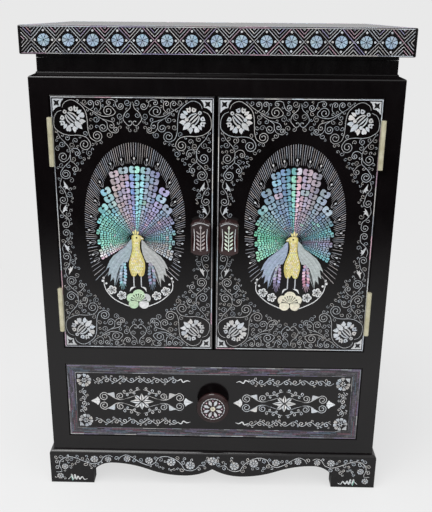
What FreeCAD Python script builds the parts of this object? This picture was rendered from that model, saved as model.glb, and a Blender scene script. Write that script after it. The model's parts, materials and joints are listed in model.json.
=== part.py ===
import FreeCAD
import Part
import math
import os
from FreeCAD import Vector

# Lacquered dressing chest that stands on a table: a scalloped plinth, a carcass with two doors
# over a drawer, and a lid with a mirror under it, hinged at the back on a recessed neck.
# Millimetres; X runs across the front, Y from the front to the back, Z up from the floor.

# Carcass
BODY_W = 290.0             # across the side panels
BODY_D = 196.0             # from the front faces to the back edges
SIDE_T = 10.0              # side panels
BOARD_T = 9.0              # bottom and divider panels
BACK_T = 4.0               # back panel
BACK_LAP = 5.0             # how far the back panel laps onto each side panel
DADO_D = 3.0               # dados in the side panels
TONGUE_T = 4.0             # tongues that enter the front frame
TONGUE_L = 4.0
TONGUE_INSET = 3.0         # from the outer side to the tongue of a side panel
JOINT_CLEAR = 0.1          # room for glue in every joint

# Front frame, from the plinth up
FRAME_T = 12.0             # thickness, front to back
STILE_W = 15.0
BOTTOM_RAIL_H = 14.5
DRAWER_OPENING_H = 72.1
MIDDLE_RAIL_H = 15.4
DOOR_OPENING_H = 216.3
TOP_RAIL_H = 7.0
TENON_L = 6.0
TENON_T = 5.0
TENON_SHOULDER = 1.5       # above and below each tenon

# Top panel, neck and lid
TOP_T = 9.0
LEDGE_RISE = 2.6           # height of the bevel round the top panel
LEDGE_EASE = 1.4           # round on the bevel's lower edge
NECK_INSET = 6.0           # from the body's faces to the neck, and the width of the bevel
NECK_T = 10.0
NECK_H = 11.1
TRAY_RECESS = 4.0          # routed into the top panel inside the neck
LID_GAP = 0.3              # between neck and lid rim when shut
LID_RIM_T = 2.7
LID_RIM_W = 16.0
LID_T = 21.1
LID_OVERHANG = 3.9         # beyond the body at the front and sides; flush at the back
LID_EASE = 1.0
MIRROR_T = 3.0
MIRROR_LAP = 4.0           # how far the rim holds the mirror's edge
MIRROR_CLEAR = 0.5
LINING_T = 1.5
LINING_CLEAR = 0.5

# Plinth
PLINTH_H = 33.5
PLINTH_OVERHANG = 3.5
APRON_T = 12.0
APRON_EASE = 3.0           # round on the top outer edges
FOOT_W = 39.5
FOOT_EDGE_H = 13.0         # straight inner edge of a foot
SHOULDER_W = 17.0          # from that edge to the crest of the arch
CREST_H = 21.8
LOBE_H = 9.2               # lowest point of the hanging lobe
CUSP_H = 16.5              # notch between the two lobes
FRONT_LOBE_X = 26.0        # from the middle of the apron to the lobe's lowest point
SIDE_LOBE_X = 15.0
BLOCK_LEG = 22.0           # legs of the triangular corner blocks

# Doors, pulls and catch
DOOR_GAP = 0.4             # round each door
CENTRE_GAP = 1.8           # between the two doors
DOOR_T = 12.0
DOOR_EASE = 0.6
PULL_W = 16.4              # at the front; narrower at the door for the fingers
PULL_BACK_W = 13.4
PULL_H = 28.6
PULL_P = 10.0              # projection at the top and bottom edges
PULL_HOLLOW = 2.2          # depth of the concave front
PULL_ARCH = 2.6            # rise of the arched ends
PULL_X = 11.4              # from the middle of the front
PULL_DROP = 4.4            # below the middle of the door
PULL_EASE = 0.7
CATCH_W = 40.0
CATCH_D = 15.0
CATCH_DROP = 13.0          # below the top panel
CATCH_GAP = 0.3            # to the shut strike plates
STRIKE_W = 13.0
STRIKE_H = 5.0
STRIKE_T = 0.8
STRIKE_X = 4.5             # from the middle of the front to the plate

# Butt hinges
HINGE_L = 38.5
HINGE_INSET = 17.0         # from the door's top and bottom edges
LID_HINGE_INSET = 54.0     # from the neck's sides to the middles of the lid hinges
KNUCKLE_R = 2.05
KNUCKLE_COUNT = 3
KNUCKLE_GAP = 0.2
LEAF_T = 1.0
LEAF_W = 11.0              # from the pin's axis to the leaf's far edge
PIN_R = 1.0
PIN_CLEAR = 0.05
HINGE_CLEAR = 0.3          # between knuckles and the faces behind them

# Drawer
DRAWER_GAP = 0.4           # round the drawer front
DRAWER_FRONT_T = 12.0
DRAWER_SIDE_T = 8.0
DRAWER_SIDE_H = 58.0
DRAWER_SIDE_INSET = 1.5    # from the frame's opening to the drawer sides
DRAWER_LAP = 6.0           # how far the sides enter the front
DRAWER_L = 175.0           # front face to the back ends of the sides
DRAWER_BACK_T = 8.0
DRAWER_BACK_SETBACK = 3.0
DRAWER_BOTTOM_T = 4.0
DRAWER_BOTTOM_RISE = 6.0   # from the lower edges of the sides
DRAWER_GROOVE_D = 3.0
RUN_CLEAR = 0.3            # between drawer sides and the panel that they run on
GUIDE_CLEAR = 0.5
GUIDE_H = 14.0

# Turned knob
KNOB_R = 14.2
KNOB_NECK_R = 8.0
KNOB_P = 11.5              # projection at the middle of the face
KNOB_RIM_T = 2.2
KNOB_EDGE_W = 3.0          # eased edge round the face, cut as a few turned bevels
KNOB_EDGE_D = 1.3
KNOB_EDGE_CUTS = 3
KNOB_NECK_L = 1.5          # straight neck before the flare
KNOB_FLARE_R = 13.0        # wide end of the flare, behind the rim
SPIGOT_R = 5.0
SPIGOT_L = 8.0

# Shelf
SHELF_T = 8.0
SHELF_SETBACK = 30.0       # behind the front faces
SHELF_RISE = 104.0         # underside above the compartment floor
CLEAT_W = 8.0
CLEAT_H = 8.0

# Heights and half widths that follow
PLINTH_TOP = PLINTH_H
DRAWER_FLOOR = PLINTH_TOP + BOTTOM_RAIL_H
DRAWER_CEILING = DRAWER_FLOOR + DRAWER_OPENING_H
DOOR_FLOOR = DRAWER_CEILING + MIDDLE_RAIL_H
DOOR_CEILING = DOOR_FLOOR + DOOR_OPENING_H
CARCASS_TOP = DOOR_CEILING + TOP_RAIL_H
NECK_BOTTOM = CARCASS_TOP + TOP_T
LEDGE_BOTTOM = NECK_BOTTOM - LEDGE_RISE
NECK_TOP = NECK_BOTTOM + NECK_H
RIM_BOTTOM = NECK_TOP + LID_GAP
LID_BOTTOM = RIM_BOTTOM + LID_RIM_T
LID_TOP = LID_BOTTOM + LID_T
HALF_W = BODY_W / 2
INNER_X = HALF_W - SIDE_T
OPENING_X = HALF_W - STILE_W
NECK_X = HALF_W - NECK_INSET
LID_X = HALF_W + LID_OVERHANG
PLINTH_X = HALF_W + PLINTH_OVERHANG
BACK_FACE = BODY_D - BACK_T
DOOR_BOTTOM = DOOR_FLOOR + DOOR_GAP
DOOR_TOP = DOOR_CEILING - DOOR_GAP
DOOR_MIDDLE = (DOOR_BOTTOM + DOOR_TOP) / 2
DRAWER_MIDDLE = (DRAWER_FLOOR + DRAWER_CEILING) / 2
DRAWER_X = OPENING_X - DRAWER_SIDE_INSET
DRAWER_INNER_X = DRAWER_X - DRAWER_SIDE_T
DRAWER_BOTTOM_Z = DRAWER_FLOOR + RUN_CLEAR
DOOR_AXIS_X = OPENING_X - DOOR_GAP / 2
DOOR_AXIS_Y = -(KNUCKLE_R + HINGE_CLEAR)
LID_AXIS_Y = BODY_D + KNUCKLE_R + HINGE_CLEAR
LID_AXIS_Z = NECK_TOP + LID_GAP / 2
LID_HINGE_X = NECK_X - LID_HINGE_INSET
FRONT_MOST = -max(KNOB_P, PULL_P, LID_OVERHANG, PLINTH_OVERHANG, KNUCKLE_R - DOOR_AXIS_Y)
BACK_MOST = LID_AXIS_Y + KNUCKLE_R
DEPTH_MIDDLE = (FRONT_MOST + BACK_MOST) / 2
ON_PLANE = 0.001           # how near an edge must lie to count as on a plane


def board(x0, x1, y0, y1, z0, z1):
    """Square-edged board between six planes."""
    return Part.makeBox(x1 - x0, y1 - y0, z1 - z0, Vector(x0, y0, z0))


def extruded(corners, way):
    """Solid with a straight-sided section, drawn out along a vector."""
    outline = Part.makePolygon(corners + corners[:1])
    return Part.Face(outline).extrude(way)


def plan_board(points, z0, z1):
    """Board cut to a plan outline, such as one with mitred ends."""
    return extruded([Vector(x, y, z0) for x, y in points], Vector(0, 0, z1 - z0))


def mirrored(shape):
    """The same piece for the other side of the chest."""
    return shape.mirror(Vector(0, 0, 0), Vector(1, 0, 0))


def edges_on(shape, **planes):
    """Edges that lie wholly on the given planes, such as y=0."""
    found = []
    for edge in shape.Edges:
        box = edge.BoundBox
        spans = {"x": (box.XMin, box.XMax), "y": (box.YMin, box.YMax), "z": (box.ZMin, box.ZMax)}
        if all(abs(end - place) < ON_PLANE for axis, place in planes.items() for end in spans[axis]):
            found.append(edge)
    return found


def save(name, shape):
    """Write one piece, with the origin under the middle of the whole chest."""
    placed = shape.removeSplitter()
    if len(placed.Solids) == 1:
        placed = placed.Solids[0]
    placed.translate(Vector(0, -DEPTH_MIDDLE, 0))
    placed.exportStep("parts/" + name + ".step")


def save_pair(name, left):
    """Write a left piece and its mirror image."""
    save(name + "_left", left)
    save(name + "_right", mirrored(left))


# Plinth


def level_arc(level, end):
    """Arc in the XZ plane that leaves the first point level and ends at the second."""
    dx = end.x - level.x
    dz = end.z - level.z
    radius = (dx ** 2 + dz ** 2) / (2 * abs(dz))
    half_turn = math.atan2(abs(dx), radius - abs(dz)) / 2
    out = math.copysign(radius * math.sin(half_turn), dx)
    rise = math.copysign(radius * (1 - math.cos(half_turn)), dz)
    return Part.Arc(level, Vector(level.x + out, 0, level.z + rise), end).toShape()


def half_scallop(half, lobe_x, side):
    """Lower edge of an apron from the foot's inner corner to the cusp, on side +1 or -1."""
    foot_x = half - FOOT_W
    crest_x = foot_x - SHOULDER_W

    def at(x, z):
        return Vector(side * x, 0, z)

    corner = at(foot_x, FOOT_EDGE_H)
    crest = at(crest_x, CREST_H)
    turn = at((crest_x + lobe_x) / 2, (CREST_H + LOBE_H) / 2)
    lobe = at(lobe_x, LOBE_H)
    arcs = [(crest, corner), (crest, turn), (lobe, turn), (lobe, at(0, CUSP_H))]
    return [Part.makeLine(at(foot_x, 0), corner)] + [level_arc(level, end) for level, end in arcs]


def scalloped_board(half, lobe_x):
    """Apron board in the XZ plane, its front face on y=0 and its middle on x=0."""
    foot_x = half - FOOT_W
    corners = [(foot_x, 0), (half, 0), (half, PLINTH_H), (-half, PLINTH_H), (-half, 0), (-foot_x, 0)]
    outer = Part.makePolygon([Vector(x, 0, z) for x, z in corners]).Edges
    lower = half_scallop(half, lobe_x, 1) + half_scallop(half, lobe_x, -1)
    outline = Part.Wire(Part.__sortEdges__(outer + lower))
    apron = Part.Face(outline).extrude(Vector(0, APRON_T, 0))
    return apron.makeFillet(APRON_EASE, edges_on(apron, y=0, z=PLINTH_H))


def plinth():
    front_y = -PLINTH_OVERHANG
    inner_y = front_y + APRON_T
    inner_x = PLINTH_X - APRON_T
    front = scalloped_board(PLINTH_X, FRONT_LOBE_X)
    front.translate(Vector(0, front_y, 0))
    front_plan = [(-PLINTH_X, front_y), (PLINTH_X, front_y), (inner_x, inner_y), (-inner_x, inner_y)]
    save("apron_front", front.common(plan_board(front_plan, 0, PLINTH_H)))

    half_depth = (BODY_D - front_y) / 2
    side = scalloped_board(half_depth, SIDE_LOBE_X)
    side.rotate(Vector(0, 0, 0), Vector(0, 0, 1), -90)
    side.translate(Vector(-PLINTH_X, front_y + half_depth, 0))
    side_plan = [(-PLINTH_X, front_y), (-inner_x, inner_y), (-inner_x, BODY_D), (-PLINTH_X, BODY_D)]
    save_pair("apron", side.common(plan_board(side_plan, 0, PLINTH_H)))

    back = board(-inner_x, inner_x, BODY_D - APRON_T, BODY_D, 0, PLINTH_H)
    gap_x = PLINTH_X - FOOT_W
    save("apron_back", back.cut(board(-gap_x, gap_x, BODY_D - APRON_T, BODY_D, 0, CREST_H)))

    front_block = [(-inner_x, inner_y), (BLOCK_LEG - inner_x, inner_y), (-inner_x, inner_y + BLOCK_LEG)]
    back_y = BODY_D - APRON_T
    back_block = [(-inner_x, back_y), (-inner_x, back_y - BLOCK_LEG), (BLOCK_LEG - inner_x, back_y)]
    left = [plan_board(plan, JOINT_CLEAR, PLINTH_H) for plan in (front_block, back_block)]
    save("corner_blocks", Part.makeCompound(left + [mirrored(block) for block in left]))


# Carcass


def panel_slot(top, x0, x1, y0, y1):
    """Room for a horizontal panel whose upper face is at top."""
    return board(x0, x1, y0, y1, top - BOARD_T, top)


def tongue_slot(top, clear):
    """Tongue along the front of a horizontal panel, or the groove for it, grown by the clearance."""
    middle = top - BOARD_T / 2
    half_t = TONGUE_T / 2 + clear
    return board(-OPENING_X, OPENING_X, FRAME_T - TONGUE_L - clear, FRAME_T, middle - half_t, middle + half_t)


def side_panel():
    panel = board(-HALF_W, -INNER_X, FRAME_T, BODY_D, PLINTH_TOP, CARCASS_TOP)
    tongue_x = -HALF_W + TONGUE_INSET
    tongue = board(tongue_x, tongue_x + TONGUE_T, FRAME_T - TONGUE_L, FRAME_T, PLINTH_TOP, CARCASS_TOP)
    panel = panel.fuse(tongue)
    for top in (DRAWER_FLOOR, DOOR_FLOOR):
        panel = panel.cut(panel_slot(top, -INNER_X - DADO_D, -INNER_X, FRAME_T, BODY_D))
    rebate = board(-INNER_X - BACK_LAP, -INNER_X, BACK_FACE, BODY_D, PLINTH_TOP, CARCASS_TOP)
    return panel.cut(rebate)


def horizontal_panel(top):
    reach = INNER_X + DADO_D - JOINT_CLEAR
    panel = panel_slot(top, -reach, reach, FRAME_T, BACK_FACE)
    return panel.fuse(tongue_slot(top, 0))


def top_panel():
    """Board with an eased bevel round the front and sides, and a shallow tray routed inside the neck."""
    front_half = [(0, CARCASS_TOP), (0, LEDGE_BOTTOM), (NECK_INSET, NECK_BOTTOM)]
    front_section = front_half + [(BODY_D, NECK_BOTTOM), (BODY_D, CARCASS_TOP)]
    front = extruded([Vector(-HALF_W, y, z) for y, z in front_section], Vector(BODY_W, 0, 0))
    front = front.makeFillet(LEDGE_EASE, edges_on(front, y=0, z=LEDGE_BOTTOM))
    left_half = [(-HALF_W, CARCASS_TOP), (-HALF_W, LEDGE_BOTTOM), (-NECK_X, NECK_BOTTOM)]
    side_section = left_half + [(-x, z) for x, z in reversed(left_half)]
    sides = extruded([Vector(x, 0, z) for x, z in side_section], Vector(0, BODY_D, 0))
    side_edges = edges_on(sides, x=-HALF_W, z=LEDGE_BOTTOM) + edges_on(sides, x=HALF_W, z=LEDGE_BOTTOM)
    panel = front.common(sides.makeFillet(LEDGE_EASE, side_edges))
    inner_x = NECK_X - NECK_T
    tray_front = NECK_INSET + NECK_T
    tray = board(-inner_x, inner_x, tray_front, BODY_D - NECK_T, NECK_BOTTOM - TRAY_RECESS, NECK_BOTTOM)
    return panel.cut(tray)


def carcass():
    save_pair("side_panel", side_panel())
    save("bottom_panel", horizontal_panel(DRAWER_FLOOR))
    save("divider_panel", horizontal_panel(DOOR_FLOOR))
    back_x = INNER_X + BACK_LAP - JOINT_CLEAR
    save("back_panel", board(-back_x, back_x, BACK_FACE, BODY_D, PLINTH_TOP, CARCASS_TOP))
    save("top_panel", top_panel())

    shelf_bottom = DOOR_FLOOR + SHELF_RISE
    shelf_x = INNER_X - JOINT_CLEAR
    save("shelf", board(-shelf_x, shelf_x, SHELF_SETBACK, BACK_FACE, shelf_bottom, shelf_bottom + SHELF_T))
    cleat = board(-INNER_X, CLEAT_W - INNER_X, SHELF_SETBACK, BACK_FACE, shelf_bottom - CLEAT_H, shelf_bottom)
    save_pair("shelf_cleat", cleat)
    guide_x = DRAWER_X + GUIDE_CLEAR
    guide_top = DRAWER_FLOOR + GUIDE_H
    save_pair("drawer_guide", board(-INNER_X, -guide_x, FRAME_T, BACK_FACE, DRAWER_FLOOR, guide_top))

    lining_x = NECK_X - NECK_T - LINING_CLEAR
    lining_front = NECK_INSET + NECK_T + LINING_CLEAR
    lining_back = BODY_D - NECK_T - LINING_CLEAR
    tray_floor = NECK_BOTTOM - TRAY_RECESS
    lining = board(-lining_x, lining_x, lining_front, lining_back, tray_floor, tray_floor + LINING_T)
    save("tray_lining", lining)
    catch_y = DOOR_T + STRIKE_T + CATCH_GAP
    catch_x = CATCH_W / 2
    catch_bottom = CARCASS_TOP - CATCH_DROP
    save("magnet_catch", board(-catch_x, catch_x, catch_y, catch_y + CATCH_D, catch_bottom, CARCASS_TOP))


# Front frame

RAILS = {
    "bottom_rail": (PLINTH_TOP, DRAWER_FLOOR),
    "middle_rail": (DRAWER_CEILING, DOOR_FLOOR),
    "top_rail": (DOOR_CEILING, CARCASS_TOP),
}
GROOVED_RAILS = {"bottom_rail": DRAWER_FLOOR, "middle_rail": DOOR_FLOOR}


def tenon(z0, z1, clear):
    """Left stub tenon of a rail, or the mortise for it, grown by the clearance."""
    y0 = (FRAME_T - TENON_T) / 2 - clear
    y1 = (FRAME_T + TENON_T) / 2 + clear
    low = z0 + TENON_SHOULDER - clear
    high = z1 - TENON_SHOULDER + clear
    return board(-OPENING_X - TENON_L - clear, -OPENING_X, y0, y1, low, high)


def door_hinge_heights():
    """Lower ends of the two hinges of a door."""
    return {"lower": DOOR_BOTTOM + HINGE_INSET, "upper": DOOR_TOP - HINGE_INSET - HINGE_L}


def leaf_mortise(x0, x1, z):
    """Recess for a door hinge leaf."""
    return board(x0, x1, 0, DOOR_AXIS_Y + LEAF_W + JOINT_CLEAR, z - JOINT_CLEAR, z + HINGE_L + JOINT_CLEAR)


def front_frame():
    stile = board(-HALF_W, -OPENING_X, 0, FRAME_T, PLINTH_TOP, CARCASS_TOP)
    groove_x = -HALF_W + TONGUE_INSET - JOINT_CLEAR
    groove_end = groove_x + TONGUE_T + 2 * JOINT_CLEAR
    groove_y = FRAME_T - TONGUE_L - JOINT_CLEAR
    stile = stile.cut(board(groove_x, groove_end, groove_y, FRAME_T, PLINTH_TOP, CARCASS_TOP))
    for z0, z1 in RAILS.values():
        stile = stile.cut(tenon(z0, z1, JOINT_CLEAR))
    for z in door_hinge_heights().values():
        stile = stile.cut(leaf_mortise(-OPENING_X - LEAF_T, -OPENING_X, z))
    save_pair("stile", stile)

    for name, (z0, z1) in RAILS.items():
        left_tenon = tenon(z0, z1, 0)
        rail = board(-OPENING_X, OPENING_X, 0, FRAME_T, z0, z1).fuse([left_tenon, mirrored(left_tenon)])
        if name in GROOVED_RAILS:
            rail = rail.cut(tongue_slot(GROOVED_RAILS[name], JOINT_CLEAR))
        save(name, rail)


# Butt hinges


def hinge_leaf(gap, fixed):
    """Leaf with its pin axis on Z and its plate towards +Y; the fixed leaf has the -X plate and the pin."""
    plate_x = -gap / 2 - LEAF_T if fixed else gap / 2
    leaf = Part.makeBox(LEAF_T, LEAF_W, HINGE_L, Vector(plate_x, 0, 0))
    pitch = HINGE_L / KNUCKLE_COUNT
    for index in range(KNUCKLE_COUNT):
        own = (index % 2 == 0) == fixed
        if own:
            low = index * pitch + (KNUCKLE_GAP / 2 if index > 0 else 0)
            high = (index + 1) * pitch - (KNUCKLE_GAP / 2 if index < KNUCKLE_COUNT - 1 else 0)
            leaf = leaf.fuse(Part.makeCylinder(KNUCKLE_R, high - low, Vector(0, 0, low)))
        else:
            leaf = leaf.cut(Part.makeCylinder(KNUCKLE_R + HINGE_CLEAR, pitch, Vector(0, 0, index * pitch)))
    if fixed:
        return leaf.fuse(Part.makeCylinder(PIN_R, HINGE_L))
    return leaf.cut(Part.makeCylinder(PIN_R + PIN_CLEAR, HINGE_L))


def door_hinges():
    for place, z in door_hinge_heights().items():
        for part, fixed in (("frame", True), ("door", False)):
            leaf = hinge_leaf(DOOR_GAP, fixed)
            leaf.translate(Vector(-DOOR_AXIS_X, DOOR_AXIS_Y, z))
            save_pair("hinge_" + part + "_" + place, leaf)


def lid_hinges():
    """The pin lies along X, the fixed leaf under the parting line and the plates towards the front."""
    turn = FreeCAD.Rotation(Vector(0, 0, 1), Vector(0, -1, 0), Vector(1, 0, 0))
    start = Vector(-LID_HINGE_X - HINGE_L / 2, LID_AXIS_Y, LID_AXIS_Z)
    for part, fixed in (("neck", True), ("lid", False)):
        leaf = hinge_leaf(LID_GAP, fixed)
        leaf.Placement = FreeCAD.Placement(start, turn)
        save_pair("hinge_" + part, leaf)


# Doors


def door_pull():
    """Saddle-shaped pull: a block that widens to the front, with arched ends and a hollow front."""
    front_x = PULL_W / 2
    back_x = PULL_BACK_W / 2
    high = PULL_H / 2
    plan = [(-back_x, 0), (back_x, 0), (front_x, -PULL_P), (-front_x, -PULL_P)]
    spring = high - PULL_ARCH
    top_left, top_right = Vector(-front_x, 0, spring), Vector(front_x, 0, spring)
    low_right, low_left = Vector(front_x, 0, -spring), Vector(-front_x, 0, -spring)
    top = Part.Arc(top_left, Vector(0, 0, high), top_right).toShape()
    right = Part.makeLine(top_right, low_right)
    bottom = Part.Arc(low_right, Vector(0, 0, -high), low_left).toShape()
    left = Part.makeLine(low_left, top_left)
    outline = Part.Wire([top, right, bottom, left])
    pull = Part.Face(outline).extrude(Vector(0, -PULL_P, 0)).common(plan_board(plan, -high, high))
    radius = (high ** 2 + PULL_HOLLOW ** 2) / (2 * PULL_HOLLOW)
    centre = Vector(-PULL_W, PULL_HOLLOW - PULL_P - radius, 0)
    pull = pull.cut(Part.makeCylinder(radius, 2 * PULL_W, centre, Vector(1, 0, 0)))
    front = [edge for edge in pull.Edges if edge.BoundBox.YMax < -PULL_P / 2]
    pull = pull.makeChamfer(PULL_EASE, front)
    pull.translate(Vector(-PULL_X, 0, DOOR_MIDDLE - PULL_DROP))
    return pull


def doors():
    outer = -OPENING_X + DOOR_GAP
    door = board(outer, -CENTRE_GAP / 2, 0, DOOR_T, DOOR_BOTTOM, DOOR_TOP)
    door = door.makeFillet(DOOR_EASE, edges_on(door, y=0))
    for z in door_hinge_heights().values():
        door = door.cut(leaf_mortise(outer, outer + LEAF_T, z))
    save_pair("door_panel", door)
    save_pair("pull", door_pull())
    strike_top = DOOR_TOP - DOOR_EASE
    strike_end = -STRIKE_X - STRIKE_W
    strike_y = DOOR_T + STRIKE_T
    save_pair("strike", board(strike_end, -STRIKE_X, DOOR_T, strike_y, strike_top - STRIKE_H, strike_top))


# Drawer


def knob():
    """Turned knob: neck, flare, thin rim, face with an eased edge, and a spigot in the drawer front."""
    rim_front = KNOB_EDGE_D - KNOB_P
    rim_back = rim_front + KNOB_RIM_T
    foot = [(0, SPIGOT_L), (SPIGOT_R, SPIGOT_L), (SPIGOT_R, 0), (KNOB_NECK_R, 0), (KNOB_NECK_R, -KNOB_NECK_L)]
    profile = foot + [(KNOB_FLARE_R, rim_back), (KNOB_R, rim_back)]
    for step in range(KNOB_EDGE_CUTS + 1):
        turn = math.pi / 2 * step / KNOB_EDGE_CUTS
        inward = KNOB_EDGE_W * (1 - math.cos(turn))
        profile.append((KNOB_R - inward, rim_front - KNOB_EDGE_D * math.sin(turn)))
    points = [Vector(radius, y, 0) for radius, y in profile + [(0, -KNOB_P)]]
    outline = Part.makePolygon(points + points[:1])
    solid = Part.Face(outline).revolve(Vector(0, 0, 0), Vector(0, 1, 0), 360)
    solid.translate(Vector(0, 0, DRAWER_MIDDLE))
    return solid


def drawer():
    front_x = OPENING_X - DRAWER_GAP
    back_y = DRAWER_L - DRAWER_BACK_SETBACK
    side_top = DRAWER_BOTTOM_Z + DRAWER_SIDE_H
    floor = DRAWER_BOTTOM_Z + DRAWER_BOTTOM_RISE
    floor_top = floor + DRAWER_BOTTOM_T
    groove_x = DRAWER_INNER_X + DRAWER_GROOVE_D
    lap_y = DRAWER_FRONT_T - DRAWER_LAP
    groove_y = DRAWER_FRONT_T - DRAWER_GROOVE_D
    groove = board(-groove_x, groove_x, groove_y, back_y, floor, floor_top)

    front_bottom = DRAWER_FLOOR + DRAWER_GAP
    front = board(-front_x, front_x, 0, DRAWER_FRONT_T, front_bottom, DRAWER_CEILING - DRAWER_GAP)
    front = front.makeFillet(DOOR_EASE, edges_on(front, y=0))
    housing = board(-DRAWER_X, -DRAWER_INNER_X, lap_y, DRAWER_FRONT_T, front_bottom, side_top)
    socket_r = SPIGOT_R + JOINT_CLEAR
    socket = Part.makeCylinder(socket_r, DRAWER_FRONT_T, Vector(0, 0, DRAWER_MIDDLE), Vector(0, 1, 0))
    save("drawer_front", front.cut([housing, mirrored(housing), groove, socket]))
    save("drawer_knob", knob())

    side = board(-DRAWER_X, -DRAWER_INNER_X, lap_y, DRAWER_L, DRAWER_BOTTOM_Z, side_top)
    dado = board(-groove_x, -DRAWER_INNER_X, back_y - DRAWER_BACK_T, back_y, floor_top, side_top)
    save_pair("drawer_side", side.cut([groove, dado]))
    back_x = groove_x - JOINT_CLEAR
    save("drawer_back", board(-back_x, back_x, back_y - DRAWER_BACK_T, back_y, floor_top, side_top))
    save("drawer_bottom", board(-back_x, back_x, groove_y + JOINT_CLEAR, back_y, floor, floor_top))
    lining_x = DRAWER_INNER_X - LINING_CLEAR
    lining_back = back_y - DRAWER_BACK_T - LINING_CLEAR
    lining_front = DRAWER_FRONT_T + LINING_CLEAR
    lining_top = floor_top + LINING_T
    save("drawer_lining", board(-lining_x, lining_x, lining_front, lining_back, floor_top, lining_top))


# Neck and lid


def ring_boards(width, z0, z1):
    """Front, left and back boards round the neck's outline, mitred in front and butted behind."""
    inner_x = NECK_X - width
    inner_y = NECK_INSET + width
    front = [(-NECK_X, NECK_INSET), (NECK_X, NECK_INSET), (inner_x, inner_y), (-inner_x, inner_y)]
    left = [(-NECK_X, NECK_INSET), (-inner_x, inner_y), (-inner_x, BODY_D), (-NECK_X, BODY_D)]
    back = [(-inner_x, BODY_D - width), (inner_x, BODY_D - width), (inner_x, BODY_D), (-inner_x, BODY_D)]
    return [plan_board(outline, z0, z1) for outline in (front, left, back)]


def lid_leaf_mortises(z0, z1):
    """Recesses for the lid hinges in the back boards on one side of the parting line."""
    x0 = -LID_HINGE_X - HINGE_L / 2 - JOINT_CLEAR
    left = board(x0, x0 + HINGE_L + 2 * JOINT_CLEAR, LID_AXIS_Y - LEAF_W - JOINT_CLEAR, BODY_D, z0, z1)
    return [left, mirrored(left)]


def neck():
    front, left, back = ring_boards(NECK_T, NECK_BOTTOM, NECK_TOP)
    save("neck_front", front)
    save_pair("neck", left)
    save("neck_back", back.cut(lid_leaf_mortises(NECK_TOP - LEAF_T, NECK_TOP)))


def lid():
    front, left, back = ring_boards(LID_RIM_W, RIM_BOTTOM, LID_BOTTOM)
    save("lid_rim_front", front)
    save_pair("lid_rim", left)
    save("lid_rim_back", back.cut(lid_leaf_mortises(RIM_BOTTOM, RIM_BOTTOM + LEAF_T)))

    top = board(-LID_X, LID_X, -LID_OVERHANG, BODY_D, LID_BOTTOM, LID_TOP)
    top = top.makeFillet(LID_EASE, edges_on(top, z=LID_TOP) + edges_on(top, z=LID_BOTTOM))
    glass_x = NECK_X - LID_RIM_W + MIRROR_LAP
    glass_front = NECK_INSET + LID_RIM_W - MIRROR_LAP
    glass_back = BODY_D - LID_RIM_W + MIRROR_LAP
    glass_top = LID_BOTTOM + MIRROR_T
    recess_top = glass_top + MIRROR_CLEAR
    recess = board(-glass_x, glass_x, glass_front, glass_back, LID_BOTTOM, recess_top)
    save("lid_board", top.cut(recess))
    pane_x = glass_x - MIRROR_CLEAR
    pane_front = glass_front + MIRROR_CLEAR
    pane_back = glass_back - MIRROR_CLEAR
    save("mirror", board(-pane_x, pane_x, pane_front, pane_back, LID_BOTTOM, glass_top))


os.makedirs("parts", exist_ok=True)
plinth()
carcass()
front_frame()
door_hinges()
lid_hinges()
doors()
drawer()
neck()
lid()
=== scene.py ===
import json
import math
import random

import bpy
import numpy as np
from mathutils import Matrix, Vector, noise


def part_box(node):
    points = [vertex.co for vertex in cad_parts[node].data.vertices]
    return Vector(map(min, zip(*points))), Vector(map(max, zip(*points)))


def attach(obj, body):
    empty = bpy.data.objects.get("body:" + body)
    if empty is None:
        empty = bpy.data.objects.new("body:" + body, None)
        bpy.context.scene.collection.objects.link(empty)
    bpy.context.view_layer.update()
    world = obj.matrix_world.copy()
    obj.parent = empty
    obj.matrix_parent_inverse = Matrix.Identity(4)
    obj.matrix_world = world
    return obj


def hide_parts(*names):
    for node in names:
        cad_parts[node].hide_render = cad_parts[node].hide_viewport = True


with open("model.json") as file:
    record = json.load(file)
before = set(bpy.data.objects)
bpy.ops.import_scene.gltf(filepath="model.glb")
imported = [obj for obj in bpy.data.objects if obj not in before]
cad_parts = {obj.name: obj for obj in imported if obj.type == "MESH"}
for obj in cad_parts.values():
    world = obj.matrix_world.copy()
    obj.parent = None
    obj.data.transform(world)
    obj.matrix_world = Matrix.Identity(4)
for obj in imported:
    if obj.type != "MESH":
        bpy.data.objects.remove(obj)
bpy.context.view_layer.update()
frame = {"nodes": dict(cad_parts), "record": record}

# Lacquered dressing chest with mother-of-pearl inlay.
# Inlay is drawn in millimetres. A point on a face is a complex number: across plus up times 1j.

MM = 0.001
TAU = 2 * math.pi


def shade(red, green, blue):
    """A screen colour, 0 to 255, as the linear values that shaders take."""
    parts = np.array([red, green, blue]) / 255
    return np.where(parts > 0.04045, ((parts + 0.055) / 1.055) ** 2.4, parts / 12.92)


WHITE = shade(232, 233, 234)
SILVER = shade(204, 206, 209)
GREY = shade(158, 158, 163)
ASH = shade(112, 110, 116)
SMOKE = shade(78, 75, 82)
ICE = shade(182, 202, 222)
LILAC = shade(182, 172, 208)
MAUVE = shade(150, 138, 166)
PINK = shade(228, 192, 210)
ROSE = shade(206, 152, 178)
MINT = shade(160, 226, 204)
GREEN = shade(124, 206, 172)
TEAL = shade(118, 178, 184)
CYAN = shade(162, 214, 222)
BLUE = shade(134, 160, 206)
STEEL = shade(148, 168, 188)
GOLD = shade(236, 226, 158)
AMBER = shade(208, 194, 116)
CREAM = shade(236, 231, 210)
SAGE = shade(198, 226, 192)
INK = shade(16, 15, 16)
BRIGHTEST = 0.95  # most that a tint may be varied to


# Plane curves

def ray(angle):
    """Unit step at an angle from the across direction."""
    return complex(math.cos(angle), math.sin(angle))


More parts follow.
